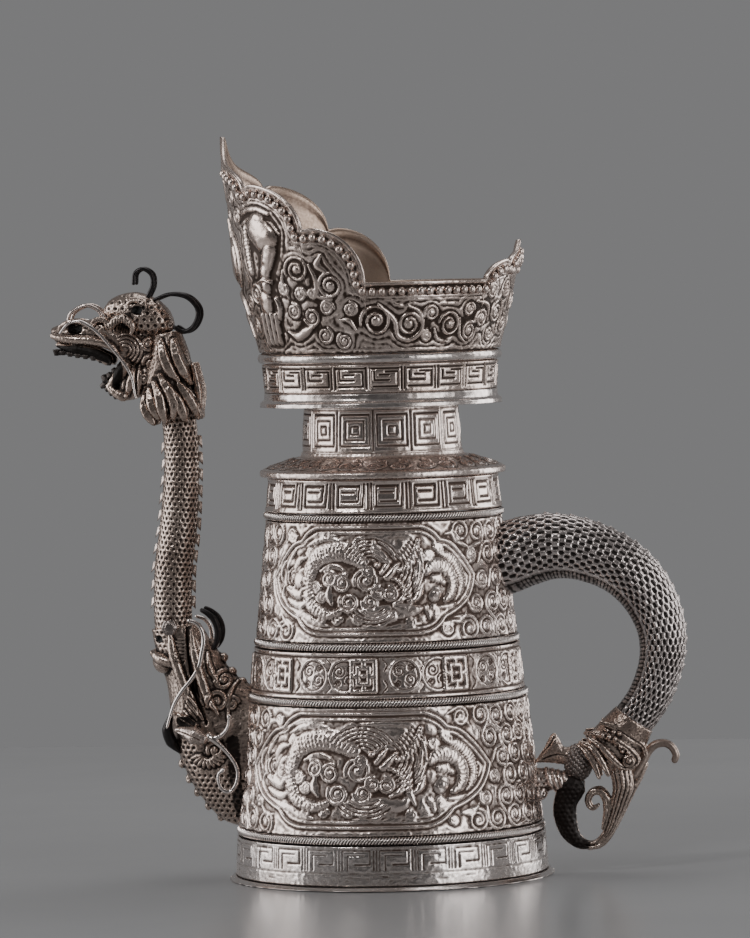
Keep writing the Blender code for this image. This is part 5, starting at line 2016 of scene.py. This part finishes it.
    def head_wires(self) -> None:
        """Horns, crest loops and whiskers."""
        horn = ((-99.5, 251.5), (-97.2, 256.5), (-97.6, 261.2), (-101.2, 263.7), (-104.6, 262.0), (-105.3, 257.6))
        loop = ((-96.5, 250.3), (-90, 252.5), (-83, 251.5), (-78.5, 247.5), (-77.6, 243), (-80, 238.2), (-84, 236.3),
                (-87.6, 238.2))
        whisker = ((-137, 237), (-133.4, 240.9), (-129, 241.9), (-125, 240.2), (-120, 236.4), (-114, 229.5),
            (-109, 223), (-106, 217), (-105, 211), (-104.3, 208.4))
        nose = ((-134.4, 241), (-132.8, 245.3), (-128.5, 248), (-125, 248.5), (-121, 246.6), (-119.4, 244.2))
        for side, hand in ((-1, "left"), (1, "right")):
            made = [(wire("horn_curl_wire_" + hand, both(horn, 3.6, 5.0, side), (1.0, 0.9, 0.8), Finish.BLACK),
                "horn_curl_" + hand), (wire("crest_loop_wire_" + hand, both(loop, 4.8, 6.4, side),
                (0.7, 1.05, 1.05, 1.0), Finish.BLACK), "crest_loop_" + hand),
                (wire("whisker_wire_" + hand, both(whisker, 9.8, 13.2, side), (0.6, 0.85, 0.85, 0.8, 0.4),
                Finish.RUBBED), "nose_whisker_" + hand),
                (wire("nose_loop_wire_" + hand, both(nose, 5.6, 6.6, side), (0.7, 0.9, 0.7), Finish.CHASED), None)]
            for piece, node in made:
                finish = next(f for f, m in MATERIALS.items() if m == piece.data.materials[0])
                add_piece(piece, finish, *([node] if node else []))

    def makara(self) -> None:
        """The hollow beast at the body, whose mouth holds the neck."""
        model = Sculpture("makara_modelled", 0.5)
        model.loft((((-58.0, 20.9), (-54.0, 81.0), 17.0), ((-72.0, 24.5), (-60.0, 83.7), 16.5),
                    ((-82.5, 35.7), (-65.0, 87.0), 15.5), ((-89.3, 48.5), (-69.3, 91.7), 14.0),
                    ((-93.4, 62.5), (-72.0, 97.0), 12.6), ((-95.8, 84.0), (-74.6, 100.3), 11.0),
                    ((-99.6, 96.0), (-77.6, 105.0), 10.8), ((-101.9, 108.0), (-81.0, 110.5), 10.5)))
        for k, (x, z, reach) in enumerate(((-63, 84.6, 2.0), (-67.5, 89.0, 2.2), (-71, 95.2, 2.2),
                (-74.5, 101.5, 2.0))):
            model.ball((x, 0, z), (reach, 3.2, reach), False)
        for x, z in ((-90.3, 49.6), (-87.3, 43.0), (-83.8, 37.2), (-79.2, 31.2), (-74, 26.4)):
            model.ball((x, 0, z), (1.5, 2.6, 2.2), False)
        model.ball((-96.0, 4.0, 94.5), (5.4, 6.6, 5.6))
        model.limb(((-101, 4.6, 98), (-97.5, 8.6, 95.8), (-92, 11.0, 93.5), (-89.5, 11.6, 90)), (1.6, 2.4, 2.0, 0.6))
        model.limb(((-92.6, 11.4, 107), (-91.5, 12.2, 99), (-88, 13.2, 88), (-84, 14.0, 78), (-79, 15.4, 70)),
                   (1.0, 2.2, 2.4, 2.2, 0.8))
        model.limb(((-83.4, 11.6, 108), (-82.2, 12.6, 99), (-79.4, 14.2, 88), (-76.0, 15.4, 78), (-72, 16.6, 72)),
                   (1.0, 2.2, 2.4, 2.2, 0.8))
        model.limb(((-91.5, 13.0, 72.6), (-87, 14.2, 70.4), (-82, 15.4, 67.4)), (0.8, 1.6, 1.2))
        chase = SideChasing(-106, -50, 16, 118)
        chase.pits((-88, 25, -62, 46.5), 2.6, 0.8, 0.7)
        chase.pits((-90, 46, -83.5, 60), 2.6, 0.8, 0.7)
        chase.pits((-101, 99, -96, 118), 2.3, 0.7, 0.6)
        for k in range(9):
            angle = math.radians(205 + 17 * k)
            spot = (-77.2, 55.6)
            chase.stroke(((spot[0] + 3.2 * math.cos(angle), spot[1] + 3.2 * math.sin(angle)),
                          (spot[0] + 8.2 * math.cos(angle), spot[1] + 6.8 * math.sin(angle))), (0.5, 1.1, 0.5), 1.1)
        chase.curl(-73.5, 56.5, 3.6, 200, -1, 1.3)
        chase.curl(-70, 86, 4.0, 90, 1, 1.0)
        chase.curl(-72.5, 77, 4.6, 200, -1, 1.0)
        chase.curl(-66.5, 76, 3.0, 20, 1, 0.9)
        for k in range(7):
            chase.groove(((-90.4, 95 + 1.5 * k), (-86.6, 94.4 + 1.5 * k)), 0.35, 0.6)
        for k in range(6):
            chase.stroke(((-84 - 0.8 * k, 82 - 2.2 * k), (-79 - 0.9 * k, 76 - 2.2 * k)), (0.4, 0.8, 0.4), 0.7)
        chase.stroke(((-68, 70), (-67.4, 80), (-64, 86)), (0.5, 1.3, 0.5), 0.8)
        chase.stroke(((-77, 98), (-75.6, 91), (-72, 84)), (0.5, 1.6, 0.5), 0.9)
        chase.groove(((-84.9, 110), (-84.6, 100), (-83.6, 90), (-81, 78), (-77.6, 68)), 0.9, 1.4)
        # Painted shade: black in the nostril and mouth holes, dark in the channel that holds the neck, and darker down
        # the edge beside the body.
        chase.hole(-98, 104, 1.3, 1.3, 1.6)
        chase.hole(-86.5, 68.6, 4.2, 1.3, 1.6, 1.5)
        chase.shade(((-84.9, 112), (-84.6, 100), (-83.6, 90), (-81.5, 80)), 1.4, 1.0)
        chase.shade(((-66, 60), (-65, 40), (-63, 26)), 3.0, 0.75)
        piece = model.build(Finish.BROWN, chase, 0.46, 1.3)
        add_piece(piece, Finish.BROWN, "makara_shell")

    def makara_wires(self) -> None:
        """The long whiskers, the curled feelers, the tongue leaves and the bosses on the makara."""
        whisker = ((-84, 112.3), (-80.7, 111), (-78.3, 107.7), (-77.7, 103), (-78.7, 97.7), (-80, 92.3), (-83.3, 87),
                   (-87.3, 82.3), (-90.7, 77), (-92.7, 71.7), (-94.3, 66.6))
        back = ((-79, 116.2), (-76.6, 114.8), (-73.8, 112), (-72.3, 107.7), (-72.7, 103), (-74.4, 99.8))
        short = ((-77, 62.4), (-73.6, 61.9), (-70.2, 63.2), (-67.6, 66.4), (-66.8, 70.2))
        long = ((-74.7, 61.7), (-70.7, 58.3), (-66.7, 53.7), (-64, 48.3), (-64.3, 43), (-66.7, 39.2), (-70, 39.2),
                (-72, 42.6), (-72, 46.3), (-70.2, 48))
        hook = ((-93.4, 70.5), (-95, 65), (-93.6, 59.6), (-90.4, 54.8))
        leaf = ((-90, 65.4), (-85.6, 64.4), (-81.4, 62.6), (-78.6, 61.6))
        for side, hand in ((-1, "left"), (1, "right")):
            add_piece(wire("makara_whisker_wire_" + hand, both(whisker, 14.0, 15.6, side), (0.8, 1.05, 1.05, 0.9, 0.6),
                           Finish.RUBBED, 0.05), Finish.RUBBED, "makara_whisker_" + hand)
            feeler = Sculpture("makara_feeler_wire_" + hand, 0.3)
            feeler.limb(both(long, 18.4, 19.4, side), (1.4, 1.0, 0.9, 0.9, 0.8), False)
            feeler.limb(both(short, 17.8, 20.0, side), (1.4, 1.0, 0.8), False)
            feeler.ball(both(((-70.0, 48.2), (0, 0)), 19.4, 0, side)[0], (1.2, 1.2, 1.2), False)
            feeler.ball(both(((-66.8, 71.0), (0, 0)), 20.0, 0, side)[0], (1.2, 1.2, 1.2), False)
            feeler.ball(both(((-76.0, 62.2), (0, 0)), 17.4, 0, side)[0], (2.2, 1.8, 2.2), False)
            plain = SideChasing(-96, -60, 36, 76)
            add_piece(feeler.build(Finish.RUBBED, plain, 0.12, 0.4, 0.01), Finish.RUBBED, "makara_feeler_" + hand)
            tongue = Sculpture("makara_tongue_" + hand, 0.35)
            tongue.limb(both(leaf, 15.6, 18.4, side), (1.2, 2.6, 4.3, 2.6), False)
            tongue_chase = SideChasing(-96, -70, 52, 76)
            tongue_chase.groove(((-90, 65), (-85, 63.6), (-80, 61.4)), 0.5, 0.5)
            add_piece(tongue.build(Finish.CHASED, tongue_chase, 0.35, 0.8), Finish.CHASED, "makara_tongue_leaf_" + hand)
            boss = Sculpture("makara_boss_cut_" + hand, 0.3)
            grid = [both(((-92.7 + r * math.cos(a), 109.3 + 1.05 * r * math.sin(a)), (0, 0)), y, 0, side)[0]
                    for r, y in ((0.01, 11.0), (3.9, 11.0), (3.7, 12.6), (1.7, 13.6), (0.01, 13.7))
                    for a in np.radians(np.arange(0, 360, 60))]
            boss.add(np.array(grid), [grid_faces(5, 6, False, True)])
            add_piece(boss.build(Finish.DARK, SideChasing(-98, -86, 100, 120), 0.3, 0.6), Finish.DARK,
                      "makara_boss_" + hand)
            add_piece(wire("makara_back_wire_" + hand, both(back, 7.0, 8.6, side), (1.0, 1.4, 1.4, 1.0), Finish.BLACK),
                      Finish.BLACK)
            add_piece(wire("makara_hook_" + hand, both(hook, 11.0, 5.0, side), (1.2, 2.4, 2.6, 0.6), Finish.BLACK),
                      Finish.BLACK)

    def build(self) -> None:
        """Build the whole spout."""
        self.tube()
        self.mane()
        self.head()
        self.head_wires()
        self.makara()
        self.makara_wires()


@dataclass
class Handle:
    """The handle: a scaled tail, the beast's mouth that it leaves, and the curls below."""

    tail: tuple[tuple[float, float, float], ...] = (
        (47.0, 135.0, 15.6), (52.0, 135.6, 15.4), (60.0, 138.2, 15.0), (70.0, 140.2, 14.2), (80.0, 139.8, 13.4),
        (90.5, 136.8, 12.8), (100.5, 131.8, 12.3), (108.8, 124.2, 11.7), (114.6, 115.0, 11.0), (118.0, 105.0, 10.3),
        (118.5, 95.0, 9.7), (116.4, 85.0, 9.2), (112.0, 74.6, 9.0), (105.6, 65.6, 8.8))
    scale_pitch: float = 3.1

    def tube(self) -> None:
        """The scaled tail with its plain belly and the teeth along its back."""
        path = spline(self.tail, 0.5)
        length = np.hypot(*np.diff(path[:, :2], axis=0).T).sum()
        relief = Relief(2 * math.pi * 12.0, 0, length, 0.45)
        columns = round(relief.length / self.scale_pitch)
        pitch, rows = relief.length / columns, int(length / (0.86 * self.scale_pitch))

        def spots() -> Iterable[tuple[float, float]]:
            """Where the scales lie: everywhere but on the belly.

            Returns:
                The places of the scales.
            """
            for row in range(rows):
                for column in range(columns):
                    s = (column + 0.5 * (row % 2)) * pitch
                    angle = (360 * s / relief.length + 180) % 360 - 180
                    if not -146 < angle < -40:
                        yield s, (row + 0.5) * 0.86 * self.scale_pitch

        for s, z in spots():
            relief.ridge(np.array([(s, z - 0.5), (s, z + 0.2)]), (1.75, 1.5), 0.5, 0.4)
        for s, z in spots():
            relief.groove(np.array([(s, z + 0.55), (s, z - 0.1), (s, z - 0.5)]), (1.05), 0.95)
        for edge in (-41, -145):
            s = edge / 360 * relief.length
            relief.ridge(spline(((s, 0), (s, length)), 0.3), 0.6, 0.5)
        for row in range(int(length / 2.2)):
            z = row * 2.2
            a, b = (-143 / 360 * relief.length, -43 / 360 * relief.length)
            relief.groove(spline(((a, z), ((a + b) / 2, z + 1.2), (b, z)), 0.3), 0.4, 0.25)
        relief.matted(0.04, SEED)
        turn = (np.degrees(around(relief.columns)) + 180) % 360 - 180
        # The plain belly, on the inside of the curve, is darker by a flat amount.
        belly = 0.35 * ((turn < -40) & (turn > -146))[None, :]
        dark = np.clip(relief.tarnish(0.3, 1.2) + belly, 0, 1)
        piece = swept("handle_tail_scaled", path, relief, Finish.TAIL, dark)
        add_piece(piece, Finish.TAIL, "handle_tube")
        saw_teeth("handle_back_teeth", self.tail[3:13], 1, 4.7, 1.2, Finish.TAIL, "handle_ridge_fin", -0.4)

    def mouth(self) -> None:
        """The beast's mouth at the tail's lower end, with its beaded curls."""
        model = Sculpture("handle_mouth_modelled", 0.36)
        model.loft((((98.1, 71.3), (113.5, 60.1), 9.4), ((91.0, 64.6), (110.4, 53.4), 9.9),
                    ((86.0, 58.6), (107.4, 48.0), 9.2), ((84.4, 52.4), (104.6, 45.0), 7.6),
                    ((88.4, 45.4), (101.6, 42.6), 6.0)))
        curls = (((85, 60.5), (91, 60.2), (98, 57.4), (104, 53), (107.2, 48.6), (104.6, 45.8), (102.2, 48)),
                 ((86, 59.0), (91.6, 55.0), (96, 50.0), (100.6, 45.8), (105.0, 45.2)),
                 ((83.4, 56.4), (88, 54.0), (92, 48.0), (94.6, 42.6)),
                 ((82.0, 55.4), (85.6, 52.0), (89, 46.4), (90.6, 41.4)),
                 ((92, 65), (98.4, 62.4), (104, 58.6), (109.4, 54.4), (110.6, 50.4)))
        for k, curl in enumerate(curls):
            flat = [(x, 9.6 - 0.02 * (x - 96) ** 2 - 0.3 * k, z) for x, z in curl]
            model.limb(flat, (0.9, 1.7, 1.7, 1.0))
        model.ball((103.8, 9.0, 48.3), (2.6, 1.8, 2.6))
        chase = SideChasing(76, 118, 34, 76)
        for curl in curls:
            chase.groove(curl, 0.4, 0.5)
        chase.curl(103.8, 48.3, 2.6, 90, 1, 1.0)
        for x, z in ((92.6, 59.6), (95.4, 59.0), (98.0, 58.0), (97.2, 60.8), (101.0, 52.6), (103.2, 51.6),
                (100.2, 54.4), (94.2, 61.6), (99.8, 60.2)):
            chase.relief.ridge(np.array([(x - 76, z)]), 1.1, 1.2)
        piece = model.build(Finish.BROWN, chase, 0.34, 1.2)
        add_piece(piece, Finish.BROWN, "handle_mouth")

    def loop(self) -> None:
        """The tail's curled foot: a scaled inner half, near-black with painted shade, and a smooth leaf outer half."""
        model = Sculpture("handle_foot_loop", 0.4)
        outer = ((78.2, 37, 6.4), (75.2, 29.0, 5.3), (75.6, 22.0, 5.2), (77.6, 16.4, 4.4), (81.6, 12.6, 3.0),
            (86.5, 11.4, 1.8))
        model.limb([(x, 0, z) for x, z, _ in outer], [r for *_, r in outer], False)
        leaf = ((84.5, 11.6), (89, 12.4), (93.4, 16.8), (96.2, 23), (98.6, 30), (100.6, 37), (99.8, 44))
        for y in (-3.4, -1.2, 1.2, 3.4):
            model.limb([(x, y * (0.45 + 0.55 * k / 6), z) for k, (x, z) in enumerate(leaf)],
                       (1.6, 2.0, 2.4, 3.0, 3.8, 4.8, 5.0), False)
        inner = ((91.6, 19), (93.6, 25), (93.4, 31), (90.6, 35), (86.8, 34.2), (85.2, 30.6), (87.0, 27.6), (89.6, 28.8))
        model.limb([(x, 2.4, z) for x, z in inner], (1.0, 2.0, 2.2, 2.0, 1.8, 1.6, 1.3, 0.8))
        strap = ((110, 46), (107.5, 40.5), (104.5, 35), (101.5, 29), (99, 24), (96, 18.5), (93, 14), (90, 11.4),
            (85.6, 10.4))
        model.limb([(x, 0, z) for x, z in strap], (1.6, 1.5, 1.4, 1.3, 1.2), False)
        chase = SideChasing(64, 116, 4, 56)
        chase.pits((69, 10, 84, 38), 2.3, 0.7, 0.55)
        for shift in (-3.4, -1.0, 1.6, 4.0):
            chase.groove([(x + shift * (0.3 + 0.1 * k), z) for k, (x, z) in enumerate(leaf)], 0.45, 0.6)
        chase.groove(inner, 0.4, 0.4)
        # Painted shade, near-black, over the coiled inner half.
        chase.shade(((79, 38), (75.2, 29.0), (75.6, 22.0), (77.6, 16.4), (80.0, 13.4)), 6.6, 1.45)
        piece = model.build(Finish.BROWN, chase, 0.34, 1.1)
        add_piece(piece, Finish.BROWN, "tail_loop", "inner_curl")

    def joints(self) -> None:
        """The socket on the body, the ribbed link, the leaf tab, the trunk and the ball of beads."""
        trunk = ((105.0, 0, 41.5), (108.6, 0, 46.6), (111.4, 0, 51.4), (114.6, 0, 54.4), (118.6, 0, 55),
            (121.6, 0, 53.4), (123.4, 0, 50), (122.8, 0, 47.6))
        add_piece(wire("trunk_curl_wire", trunk, (2.6, 2.1, 1.9, 1.8, 1.7, 1.5), Finish.BROWN, 0.35, 16), Finish.BROWN,
                  "trunk_curl")
        socket = Sculpture("handle_socket_modelled", 0.4)
        socket.limb(((60.5, 0, 40.4), (66, 0, 40.6), (70.5, 0, 40.6)), (5.2, 4.8, 4.4), False)
        socket.ball((64.2, 0, 34.6), (4.0, 4.6, 3.6), False)
        for x in (67.4, 69.9, 72.4, 74.9, 77.4):
            socket.limb([(x + 0.28 * (k - 3) ** 2 * 0.6, 4.2 * math.cos(a), 40.6 - (x - 67) * 0.22 + 4.4 * math.sin(a))
                         for k, a in enumerate(np.radians(np.arange(-90, 300, 45)))], (1.0, 1.0), False)
        socket.limb(((68, 0, 40.4), (73, 0, 39.4), (79, 0, 38.6)), (3.8, 3.9, 3.6), False)
        chase = SideChasing(54, 84, 26, 50)
        chase.pits((60, 32, 67, 46), 2.6, 0.7, 0.5)
        add_piece(socket.build(Finish.CHASED, chase, 0.4, 1.2), Finish.CHASED, "handle_socket", "handle_link")
        tab = Sculpture("handle_leaf_tab_modelled", 0.4)
        outline = ((62.4, 48.0), (66.0, 52.6), (69.0, 58.0), (71.2, 60.4), (73.4, 57.6), (75.4, 54.2), (80, 54.6))
        low = ((62.6, 47.4), (68, 47.4), (74, 46.6), (80, 46.4))
        top, under = spline([(x, z, 0) for x, z in outline], 0.6)[:, :2], spline([(x, z, 0) for x, z in low], 0.6)[:,
            :2]
        sections = []
        for x in np.linspace(62.8, 79.6, 18):
            high = np.interp(x, top[:, 0], top[:, 1])
            base = np.interp(x, under[:, 0], under[:, 1])
            sections.append(((x, base), (x, high), 1.6 + 0.12 * (x - 62)))
        tab.loft(sections)
        tab_chase = SideChasing(56, 86, 40, 66)
        tab_chase.groove(((64, 50), (69, 55), (71.4, 58.6)), 0.45, 0.4)
        tab_chase.groove(((66, 49), (72, 51), (79, 50)), 0.45, 0.4)
        add_piece(tab.build(Finish.BROWN, tab_chase, 0.45, 1.0), Finish.BROWN, "handle_leaf_tab")
        self.beads()

    def beads(self) -> None:
        """The ball of beads between the tab and the loop."""
        count = 150
        k = np.arange(count) + 0.5
        z = 1 - 2 * k / count
        turn = math.pi * (1 + math.sqrt(5)) * k
        flat = np.sqrt(1 - z * z)
        out = np.stack([flat * np.cos(turn), flat * np.sin(turn), z], 1)
        places = out * (5.4, 5.6, 7.2) + np.array((81.4, 0.0, 47.4))
        frames = axes_from(np.cross(out, (0.3, 0.2, 0.95)), out)
        shape = Repeats("ball_beads", "GeometryNodeMeshIcoSphere", {"Radius": 1.0, "Subdivisions": 2})
        piece = shape.spread("bead_ball", places, frames, np.tile((1.25, 1.25, 1.1), (count, 1)), Finish.DARK, 0.35)
        add_piece(piece, Finish.DARK, "bead_cluster")

    def build(self) -> None:
        """Build the whole handle."""
        self.tube()
        self.mouth()
        self.loop()
        self.joints()


# ------------------------------------------------------------------------------ studio

@dataclass(frozen=True)
class Softbox:
    """A soft light: its bearing from the camera's side of the pitcher, height, distance, size and power."""

    name: str
    bearing: float
    height: float
    distance: float
    size: tuple[float, float]
    power: float

    def build(self, front: float) -> None:
        """Make the light; front is the camera's own bearing in degrees.

        Args:
            front: the camera's own bearing in degrees.
        """
        turn = math.radians(front + self.bearing)
        place = Vector((self.distance * math.sin(turn), -self.distance * math.cos(turn), self.height))
        data = bpy.data.lights.new(self.name, "AREA")
        data.shape = "RECTANGLE"
        data.size, data.size_y = self.size
        data.energy = self.power
        lamp = bpy.data.objects.new(self.name, data)
        lamp.location = place
        lamp.rotation_mode = "QUATERNION"
        lamp.rotation_quaternion = (Vector((0, 0, 0.16)) - place).to_track_quat("-Z", "Y")
        bpy.context.scene.collection.objects.link(lamp)


@dataclass
class Studio:
    """The floor, the backdrop, the lights and the camera."""

    floor_reach: float = 0.66
    floor_turn: float = 8.0
    distance: float = 2.58
    bearing: float = 5.3
    height: float = 0.278
    roll: float = 1.4
    aim: tuple[float, float] = (-0.0033, 0.1753)
    lens: float = 230.3
    backdrop: float = 0.195
    floor_colour: float = 0.33
    lights: tuple[Softbox, ...] = (
        Softbox("left_strip", -92, 0.55, 1.5, (1.3, 1.1), 12.5),
        Softbox("right_strip", 52, 0.5, 1.6, (0.95, 1.1), 10.0),
        Softbox("right_edge", 118, 0.5, 1.5, (0.85, 1.1), 9.0),
        Softbox("key", -38, 1.45, 1.7, (0.4, 0.4), 9.0),
        Softbox("top", 160, 1.7, 0.5, (0.9, 0.9), 6.0),
    )

    def floor(self) -> None:
        """A square table top with a faint sheen, turned so that its far edge looks level."""
        turn = math.radians(self.bearing - self.floor_turn)
        right = np.array((math.cos(turn), math.sin(turn), 0.0))
        back = np.array((-math.sin(turn), math.cos(turn), 0.0))
        steps = np.linspace(-3.0, 3.0, 13)
        depth = np.linspace(-3.2, self.floor_reach, 13)
        grid = np.array([[x * right + y * back for x in steps] for y in depth])
        mesh = bpy.data.meshes.new("table_top")
        mesh.from_pydata(grid.reshape(-1, 3).tolist(), [], grid_faces(13, 13, False, False).tolist())
        top = Shader("table_top")
        grain = top.noise(9.0, 3.0)
        shade = [(self.floor_colour * k, self.floor_colour * k, self.floor_colour * 1.01 * k) for k in (0.97, 1.03)]
        top.feed(top.surface.inputs["Base Color"], top.mix(grain, *shade))
        top.feed(top.surface.inputs["Roughness"], (grain * 0.06 + 0.19).clamped())
        mesh.materials.append(top.material)
        piece = bpy.data.objects.new("table_top", mesh)
        bpy.context.scene.collection.objects.link(piece)

    def world(self) -> None:
        """A plain grey backdrop; the dark side of the room, behind the camera, shows only in the silver."""
        world = bpy.data.worlds.new("backdrop")
        world.use_nodes = True
        tree = world.node_tree
        way = tree.nodes.new("ShaderNodeTexCoord")
        parts = tree.nodes.new("ShaderNodeSeparateXYZ")
        tree.links.new(way.outputs["Generated"], parts.inputs[0])
        front = (Sock(tree, parts.outputs["Y"]) * -1.6 - 0.45).clamped()
        seen = Sock(tree, tree.nodes.new("ShaderNodeLightPath").outputs["Is Camera Ray"])
        room = 0.17 - front * 0.11
        shade = seen * self.backdrop + (1 - seen) * room
        tree.links.new(shade.out, tree.nodes["Background"].inputs["Strength"])
        tree.nodes["Background"].inputs["Color"].default_value = (1.0, 1.0, 1.015, 1.0)
        bpy.context.scene.world = world

    def camera(self) -> None:
        """A long lens a little above the shoulder."""
        turn = math.radians(self.bearing)
        place = Vector((self.distance * math.sin(turn), -self.distance * math.cos(turn), self.height))
        target = Vector((self.aim[0] * math.cos(turn), self.aim[0] * math.sin(turn), self.aim[1]))
        data = bpy.data.cameras.new("camera")
        data.sensor_width, data.lens = 36.0, self.lens
        data.clip_start, data.clip_end = 0.1, 30.0
        camera = bpy.data.objects.new("camera", data)
        camera.rotation_mode = "QUATERNION"
        camera.location = place
        look = (target - place).to_track_quat("-Z", "Y")
        camera.rotation_quaternion = look @ Matrix.Rotation(-math.radians(self.roll), 3, "Z").to_quaternion()
        bpy.context.scene.collection.objects.link(camera)
        bpy.context.scene.camera = camera

    def build(self) -> None:
        """Make the whole studio."""
        self.world()
        self.floor()
        self.camera()
        for light in self.lights:
            light.build(self.bearing)


# ------------------------------------------------------------------------------ the pitcher

def body_bands() -> list[Band]:
    """The turned pieces of the body, from the base up.

    Returns:
        The bands, from the base up.
    """
    return [Band("base_plate", draw_plain, 1.6, wall=1.0, finish=Finish.RUBBED,
            profile=((0.4, 0.0), (40, 0.0), (68.2, 0.0), (69.0, 0.6), (69.0, 1.5), (68.6, 2.1), (67.4, 2.3))),
            Band("foot_band", draw_foot, finish=Finish.RUBBED, rest=0.28),
            Panel("lower_panel", draw_panel, 0.44, 2, 2, pool=1.1, sink=0.7, centre=(-7.0, 50.0)),
            Band("middle_band", draw_middle, 0.4, 9),
            Panel("upper_panel", draw_panel, 0.44, 2, 2, pool=1.1, sink=0.7, centre=(-2.5, 129.7),
            scale=(0.835, 0.94), upper=True), Band("shoulder_fret_band", draw_shoulder),
            Band("shoulder_plate", draw_cone, 0.5, finish=Finish.CHASED, rest=0.12, wall=1.2,
            profile=((47.8, 173.1), (52.4, 172.9), (53.2, 174.2), (52.9, 175.8), (51.6, 176.4), (46, 178.2),
            (40, 180.2), (36.8, 181.1), (35.4, 182.0), (34.9, 183.4))), Band("neck_collar", draw_neck),
            Band("crown_flange", draw_plain, 0.8, finish=Finish.RUBBED, wall=1.2,
            profile=((32.6, 203.0), (50.6, 202.9), (52.1, 203.5), (52.2, 204.9), (51.2, 205.8), (50.5, 206.6),
            (50.3, 209.2))), Band("crown_fret_band", draw_crown_fret, finish=Finish.CROWN),
            Band("crown_moulding", draw_plain, 0.6, finish=Finish.RUBBED, wall=0.8,
            profile=((50.4, 221.5), (52.1, 222.1), (52.8, 223.9), (52.2, 225.7), (50.9, 226.4))),]


def main() -> None:
    """Build the pitcher and its studio."""
    logging.basicConfig(level=logging.INFO, format="%(name)s: %(message)s")
    for band in body_bands():
        band.build()
    RopeWires().build()
    Crown().build()
    Spout().build()
    Handle().build()
    Studio().build()


if __name__ == "__main__":
    main()
